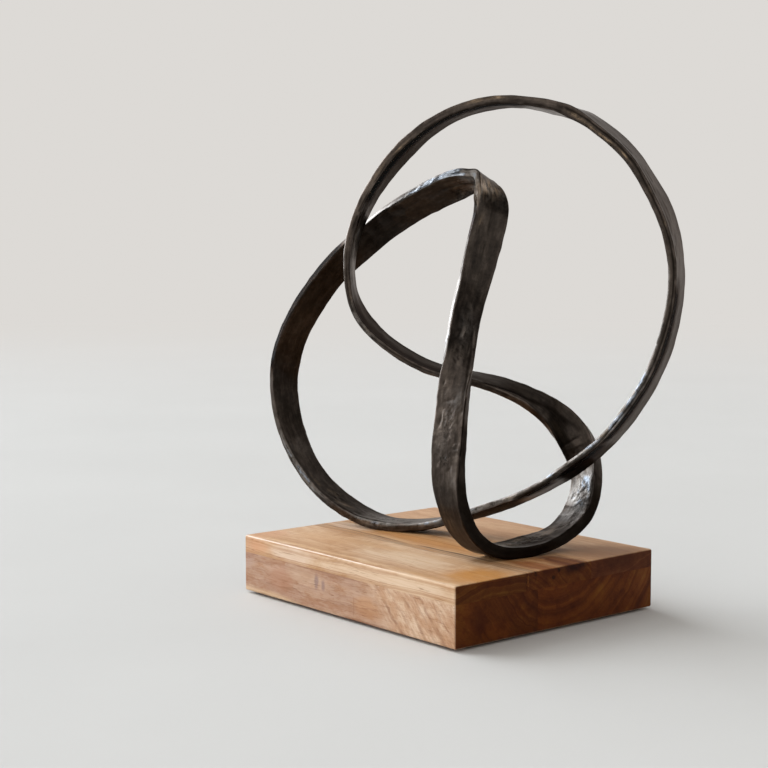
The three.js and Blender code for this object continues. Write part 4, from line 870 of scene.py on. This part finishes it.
def floor_material():
    """Pale paper that melts into the backdrop far from the object."""
    t = Tree("floor_paper")
    pos = t.node("TexCoord").outputs["Object"]
    f = t.noise(pos, 3.0, 3.0, 0.5)
    base = t.ramp(f, (0.3, (0.505, 0.490, 0.470)), (0.7, (0.522, 0.507, 0.487)))
    near = t.node("BsdfPrincipled", None, Base_Color=base, Roughness=0.85, **{"Specular_IOR_Level": 0.2})
    far = t.node("Emission", None, Color=BACKDROP, Strength=1.0)
    away = t.map(t.vmath("LENGTH", pos), 1.0, 4.5)
    both = t.node("MixShader", None, i0=away, i1=near.outputs[0], i2=far.outputs[0])
    t.node("OutputMaterial", None, Surface=both.outputs[0]).is_active_output = True
    return t.mat


# ---- the loop ------------------------------------------------------------------------
metal = metal_material()
order = [("left_foot", WELDS["strand"], WELDS["left"] + COUNT), ("left_arch", WELDS["left"], WELDS["shoulder"]),
         ("upright", WELDS["shoulder"], WELDS["upright"]), ("right_foot", WELDS["upright"], WELDS["loop"]),
         ("ring_left", WELDS["loop"], WELDS["ring"]), ("ring_right", WELDS["ring"], WELDS["strand"])]
for part, s0, s1 in order:
    o = bar_mesh("hammered_" + part, s0, s1)
    o.data.materials.append(metal)
    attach(o, ROOT)
    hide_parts("bar_" + part)


# ---- the block -----------------------------------------------------------------------
def eased_block():
    """The whole block with softly rounded edges, as a bmesh in metres."""
    bm = bmesh.new()
    bmesh.ops.create_cube(bm, size=1.0)
    for v in bm.verts:
        v.co = Vector((v.co.x * BLOCK_X * MM, v.co.y * BLOCK_Y * MM, (BLOCK_Z0 + BLOCK_Z1) / 2 * MM + v.co.z * (BLOCK_Z1 - BLOCK_Z0) * MM))
    bmesh.ops.bevel(bm, geom=bm.edges[:], offset=1.8 * MM, segments=6, profile=0.5, affect="EDGES")
    return bm


def cut(bm, point, normal):
    """Keeps what lies behind the plane and closes the cut."""
    r = bmesh.ops.bisect_plane(bm, geom=bm.verts[:] + bm.edges[:] + bm.faces[:], dist=1e-7, plane_co=Vector(point) * MM,
                               plane_no=Vector(normal), clear_outer=True)
    edges = [e for e in r["geom_cut"] if isinstance(e, bmesh.types.BMEdge)]
    bmesh.ops.edgeloop_fill(bm, edges=edges)


def board(name, y0, y1, z0, z1, material, node, holes=()):
    bm = eased_block()
    if y0 is not None:
        cut(bm, (0, y0, 0), (0, -1, 0))
    if y1 is not None:
        cut(bm, (0, y1, 0), (0, 1, 0))
    if z0 is not None:
        cut(bm, (0, 0, z0), (0, 0, -1))
    if z1 is not None:
        cut(bm, (0, 0, z1), (0, 0, 1))
    bmesh.ops.recalc_face_normals(bm, faces=bm.faces[:])
    mesh = bpy.data.meshes.new(name)
    bm.to_mesh(mesh)
    bm.free()
    o = bpy.data.objects.new(name, mesh)
    bpy.context.scene.collection.objects.link(o)
    for x, y, r, lo, hi in holes:
        drill_mesh = bpy.data.meshes.new("drill")
        d = bmesh.new()
        bmesh.ops.create_cone(d, cap_ends=True, segments=48, radius1=r * MM, radius2=r * MM, depth=(hi - lo) * MM)
        for v in d.verts:
            v.co += Vector((x, y, (lo + hi) / 2)) * MM
        bmesh.ops.recalc_face_normals(d, faces=d.faces[:])
        d.to_mesh(drill_mesh)
        d.free()
        drill = bpy.data.objects.new("drill", drill_mesh)
        bpy.context.scene.collection.objects.link(drill)
        m = o.modifiers.new("drill", "BOOLEAN")
        m.operation, m.solver, m.object = "DIFFERENCE", "EXACT", drill
        bpy.context.view_layer.update()
        dg = bpy.context.evaluated_depsgraph_get()
        made = bpy.data.meshes.new_from_object(o.evaluated_get(dg))
        o.modifiers.remove(m)
        o.data = made
        bpy.data.objects.remove(drill)
    limit = math.radians(35)
    bm = bmesh.new()
    bm.from_mesh(o.data)
    for f in bm.faces:
        f.smooth = True
    for e in bm.edges:
        e.smooth = not (len(e.link_faces) == 2 and e.calc_face_angle(0) > limit)
    bm.to_mesh(o.data)
    bm.free()
    o.data.name = name
    o.data.materials.clear()
    o.data.materials.append(material)
    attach(o, ROOT)
    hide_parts(node)
    return o


J0, J1 = UPPER_JOINTS
K0 = LOWER_JOINTS[0]
upper_front = wood_material(
    "wood_upper_front", 1, (0.575, 0.400, 0.260), (0.495, 0.312, 0.180), (0.385, 0.205, 0.092), (-60, -130), 4.2, (0.180, 0.082, 0.017),
    blotches=((124, -74, 54, 30, 34, 12, (0.44, 0.198, 0.048), 0.9), (-128, -100, 46, 26, 26, 14, (0.49, 0.258, 0.142), 0.75),
              (-80, -66, 54, 46, 22, 10, (0.49, 0.285, 0.145), 0.5), (-116, -116, 46, 20, 8, 6, (0.56, 0.30, 0.165), 0.6),
              (30, -82, 54, 66, 26, 10, (0.585, 0.425, 0.290), 0.8), (60, -118, 44, 110, 10, 9, (0.66, 0.50, 0.36), 0.8), (-70, -118, 46, 38, 10, 9, (0.64, 0.49, 0.375), 0.8),
              (-20, -55, 54, 40, 8, 8, (0.50, 0.30, 0.15), 0.5), (70, -52, 54, 40, 7, 8, (0.50, 0.29, 0.14), 0.4)),
    stripes=((-36.5, 52, 3.5, 14, 3, (0.26, 0.17, 0.105), 0.6), (-108, 53, 4.0, 6, 6, (0.49, 0.285, 0.135), 0.6), (-95, 53, 1.6, 6, 8, (0.47, 0.28, 0.14), 0.5),
             (-72, 53, 1.4, 6, 9, (0.46, 0.27, 0.13), 0.5)),
    curl=0.7, contrast=1.15, warp=5.0, streak=0.8, mottle=0.40, end_lines=0.34)
upper_middle = wood_material(
    "wood_upper_middle", 2, (0.54, 0.345, 0.195), (0.48, 0.265, 0.120), (0.38, 0.18, 0.065), (-90, -60), 4.6, (0.205, 0.095, 0.022),
    blotches=((-112, -16, 52, 34, 12, 8, (0.62, 0.45, 0.32), 0.85), (-10, -10, 52, 80, 12, 8, (0.475, 0.215, 0.060), 0.75), (-60, 22, 52, 70, 14, 8, (0.50, 0.32, 0.195), 0.55),
              # painted shadow: the two dark patches at x 124 and 126 are the loop's shadow to the right of the right
              # foot
              (124, -12, 52, 30, 13, 8, (0.205, 0.064, 0.017), 0.92), (126, 18, 52, 30, 19, 8, (0.098, 0.025, 0.0075), 0.97),
              (140, -5.7, 45.5, 6, 2.6, 2.0, (0.05, 0.03, 0.02), 0.95), (140, 0.0, 50.5, 6, 1.8, 1.6, (0.05, 0.03, 0.02), 0.9)),
    stripes=((-33.5, 52, 5.0, 14, 5, (0.30, 0.205, 0.130), 0.85), (-27.5, 52, 2.6, 10, 4, (0.11, 0.060, 0.033), 0.95),
             (-37.3, 46, 1.0, 14, 0.6, (0.08, 0.045, 0.03), 0.95), (-35.0, 45, 0.9, 9, 0.5, (0.95, 0.72, 0.50), 0.9)),
    contrast=1.2, warp=6.0, streak=0.8, mottle=0.40, end_lines=0.34)
upper_rear = wood_material(
    "wood_upper_rear", 3, (0.56, 0.365, 0.220), (0.47, 0.28, 0.158), (0.37, 0.20, 0.102), (60, 150), 5.0, (0.190, 0.086, 0.041),
    blotches=((122, 76, 52, 34, 34, 12, (0.25, 0.130, 0.068), 0.8), (-40, 90, 52, 60, 20, 9, (0.52, 0.33, 0.195), 0.5)),
    stripes=((46, 52, 4.0, 12, 5, (0.38, 0.235, 0.125), 0.5),),
    contrast=1.05, warp=7.0, streak=0.7, mottle=0.40, end_lines=0.4)
lower_front = wood_material(
    "wood_lower_front", 4, (0.51, 0.345, 0.245), (0.415, 0.262, 0.180), (0.33, 0.185, 0.122), (10, 90), 5.0, (0.200, 0.078, 0.013),
    blotches=((-88, -115, 21, 20, 9, 13, (0.385, 0.20, 0.125), 0.75), (34, -115, 15, 20, 8, 10, (0.47, 0.25, 0.125), 0.7),
              (-136, -115, 32, 12, 8, 8, (0.39, 0.265, 0.21), 0.65), (-52, -115, 30, 26, 8, 10, (0.47, 0.32, 0.22), 0.5),
              (-35.0, -115, 24.5, 3.2, 5, 7.5, (0.20, 0.130, 0.13), 0.62), (-25.5, -115, 22.0, 3.0, 5, 5.0, (0.20, 0.130, 0.13), 0.58),
              (-110, -115, 2, 56, 8, 5.0, (0.57, 0.40, 0.25), 0.75), (15.5, -115, 12, 1.0, 6, 9, (0.28, 0.15, 0.09), 0.5),
              (140, -88, 12, 8, 22, 10, (0.60, 0.38, 0.20), 0.6), (140, -103, 21, 14, 17, 20, (0.20, 0.080, 0.085), 0.95), (140, -68, 11, 10, 14, 9, (0.62, 0.40, 0.22), 0.8)),
    contrast=1.05, warp=8.0, streak=0.8, mottle=0.75, end_lines=0.35,
    flame=(66.0, 1.03, (0.62, 0.455, 0.325), (0.485, 0.295, 0.178), (0.27, 0.135, 0.080), ((82.0, 3.4, 0.70), (98.0, 2.4, 0.34), (111.0, 3.0, 0.50), (124.0, 2.2, 0.34), (133.0, 3.2, 0.50), (148.0, 2.2, 0.4))))
lower_rear = wood_material(
    "wood_lower_rear", 5, (0.53, 0.330, 0.195), (0.435, 0.242, 0.128), (0.31, 0.148, 0.070), (-2, 88), 9.5, (0.235, 0.098, 0.019),
    blotches=((140, 56, 24, 8, 34, 14, (0.62, 0.42, 0.22), 0.7), (140, 104, 26, 10, 17, 16, (0.62, 0.42, 0.36), 0.8), (140, -8, 10, 8, 26, 7, (0.50, 0.28, 0.14), 0.5)),
    contrast=1.1, warp=7.0, streak=0.7, mottle=0.40, end_lines=0.42)



def drills(*feet):
    out = []
    for x, y in feet:
        out += [(x, y, HOLE_R, BLOCK_Z0 - 3, BLOCK_Z1 + 3)]
    return out


def bores(*feet):
    return [(x, y, BORE_R, BLOCK_Z0 - 3, BORE_Z) for x, y in feet]


board("plank_upper_front", None, J0, SEAM_Z, None, upper_front, "board_upper_front")
board("plank_upper_middle", J0, J1, SEAM_Z, None, upper_middle, "board_upper_middle", drills(FOOT_RIGHT, FOOT_LEFT))
board("plank_upper_rear", J1, None, SEAM_Z, None, upper_rear, "board_upper_rear")
board("plank_lower_front", None, K0, None, SEAM_Z, lower_front, "board_lower_front")
board("plank_lower_rear", K0, None, None, SEAM_Z, lower_rear, "board_lower_rear",
      drills(FOOT_RIGHT, FOOT_LEFT) + bores(FOOT_RIGHT, FOOT_LEFT))

felt, zinc = felt_material(), zinc_material()
for name, o in frame["nodes"].items():
    if name.startswith("pad_"):
        o.data.materials.clear()
        o.data.materials.append(felt)
    elif name.startswith(("screw_", "washer_")):
        o.data.materials.clear()
        o.data.materials.append(zinc)

# ---- floor, light and camera -------------------------------------------------------
fm = bpy.data.meshes.new("floor")
fm.from_pydata([(-20, -20, 0), (20, -20, 0), (20, 20, 0), (-20, 20, 0)], [], [(0, 1, 2, 3)])
floor = bpy.data.objects.new("floor", fm)
bpy.context.scene.collection.objects.link(floor)
fm.materials.append(floor_material())

YAW, PITCH = math.radians(49.884), math.radians(5.398)
RIGHT = Vector((math.cos(YAW), math.sin(YAW), 0))
AHEAD = Vector((-math.sin(YAW), math.cos(YAW), 0))
UP = Vector((0, 0, 1))


def lamp(name, turn, rise, strength, angle, colour):
    """A far soft light: turn is degrees to the right of the camera's heading, rise degrees up."""
    light = bpy.data.lights.new(name, "SUN")
    light.energy, light.angle, light.color = strength, math.radians(angle), colour
    o = bpy.data.objects.new(name, light)
    bpy.context.scene.collection.objects.link(o)
    t, r = math.radians(turn), math.radians(rise)
    toward = RIGHT * (math.sin(t) * math.cos(r)) + AHEAD * (math.cos(t) * math.cos(r)) + UP * math.sin(r)
    o.location = toward * 3
    o.rotation_euler = toward.to_track_quat("Z", "Y").to_euler()
    return o


# the broad soft light of the room on the left, towards the camera, and a small one on the right
lamp("room", -125.0, 22.0, 2.78, 140.0, (1.0, 0.985, 0.96))
lamp("right_fill", 78.0, 18.0, 0.30, 26.0, (1.0, 0.985, 0.96))

world = bpy.data.worlds.new("studio")
bpy.context.scene.world = world
world.use_nodes = True
wt = world.node_tree
wt.nodes.clear()


def wmath(op, a, b=0.0, c=0.0):
    n = wt.nodes.new("ShaderNodeMath")
    n.operation = op
    for i, v in enumerate((a, b, c)):
        if isinstance(v, bpy.types.NodeSocket):
            wt.links.new(v, n.inputs[i])
        else:
            n.inputs[i].default_value = v
    return n.outputs[0]


def wstep(v, a, b, c=0.0, d=1.0):
    n = wt.nodes.new("ShaderNodeMapRange")
    n.interpolation_type = "SMOOTHSTEP"
    wt.links.new(v, n.inputs[0])
    for i, x in enumerate((a, b, c, d)):
        n.inputs[i + 1].default_value = x
    return n.outputs[0]


def wdot(d):
    n = wt.nodes.new("ShaderNodeVectorMath")
    n.operation = "DOT_PRODUCT"
    wt.links.new(heading, n.inputs[0])
    n.inputs[1].default_value = d
    return n.outputs["Value"]


heading = wt.nodes.new("ShaderNodeTexCoord").outputs["Generated"]
to_left, to_back, to_up = wdot(-RIGHT), wdot(AHEAD), wdot(UP)
# a tall window wall on the left that runs away from the camera
window = wmath("MULTIPLY", wstep(wmath("SUBTRACT", wmath("MULTIPLY", to_left, 2.10), to_up), 0.0, 0.10), wstep(to_up, -0.05, 0.02))
window = wmath("MULTIPLY", window, wstep(wmath("SUBTRACT", wmath("MULTIPLY", to_left, 3.9), to_back), 0.0, 0.25))
window = wmath("MULTIPLY", window, wstep(wmath("SUBTRACT", to_back, wmath("MULTIPLY", to_left, 0.12)), -0.06, 0.06))
# a pale wall behind the object, dimmer higher up, and a dim room behind the camera
wall = wmath("MULTIPLY", wstep(to_back, -0.35, 0.30, 0.0, 0.46), wstep(to_up, 0.30, 0.75, 1.0, 0.40))
room = wmath("ADD", wall, 0.14)
path = wt.nodes.new("ShaderNodeLightPath")
plain = wt.nodes.new("ShaderNodeMix")
plain.data_type = "FLOAT"
wt.links.new(path.outputs["Is Camera Ray"], plain.inputs[0])
wt.links.new(wmath("ADD", room, wmath("MULTIPLY", window, 5.5)), plain.inputs[2])
plain.inputs[3].default_value = 1.0
tint = wt.nodes.new("ShaderNodeMix")
tint.data_type = "RGBA"
wt.links.new(wmath("MULTIPLY", window, wmath("SUBTRACT", 1.0, path.outputs["Is Camera Ray"])), tint.inputs[0])
tint.inputs[6].default_value = (1.0, 0.98, 0.955, 1.0)
tint.inputs[7].default_value = (0.86, 0.935, 1.0, 1.0)
shown = wt.nodes.new("ShaderNodeMix")
shown.data_type = "RGBA"
wt.links.new(path.outputs["Is Camera Ray"], shown.inputs[0])
wt.links.new(tint.outputs[2], shown.inputs[6])
shown.inputs[7].default_value = (*BACKDROP, 1.0)
bg = wt.nodes.new("ShaderNodeBackground")
wt.links.new(shown.outputs[2], bg.inputs["Color"])
wt.links.new(plain.outputs[0], bg.inputs["Strength"])
out = wt.nodes.new("ShaderNodeOutputWorld")
wt.links.new(bg.outputs[0], out.inputs["Surface"])

cam = bpy.data.cameras.new("camera")
cam.sensor_width = 36.0
cam.lens = 36.0 * 1628.88 / 768.0
cam.clip_start, cam.clip_end = 0.01, 200.0
camera = bpy.data.objects.new("camera", cam)
bpy.context.scene.collection.objects.link(camera)
camera.location = (1.048, -0.952, 0.3257)
camera.rotation_euler = Euler((math.pi / 2 - PITCH, 0, YAW), "XYZ")
bpy.context.scene.camera = camera
bpy.context.scene.view_settings.view_transform = "Standard"
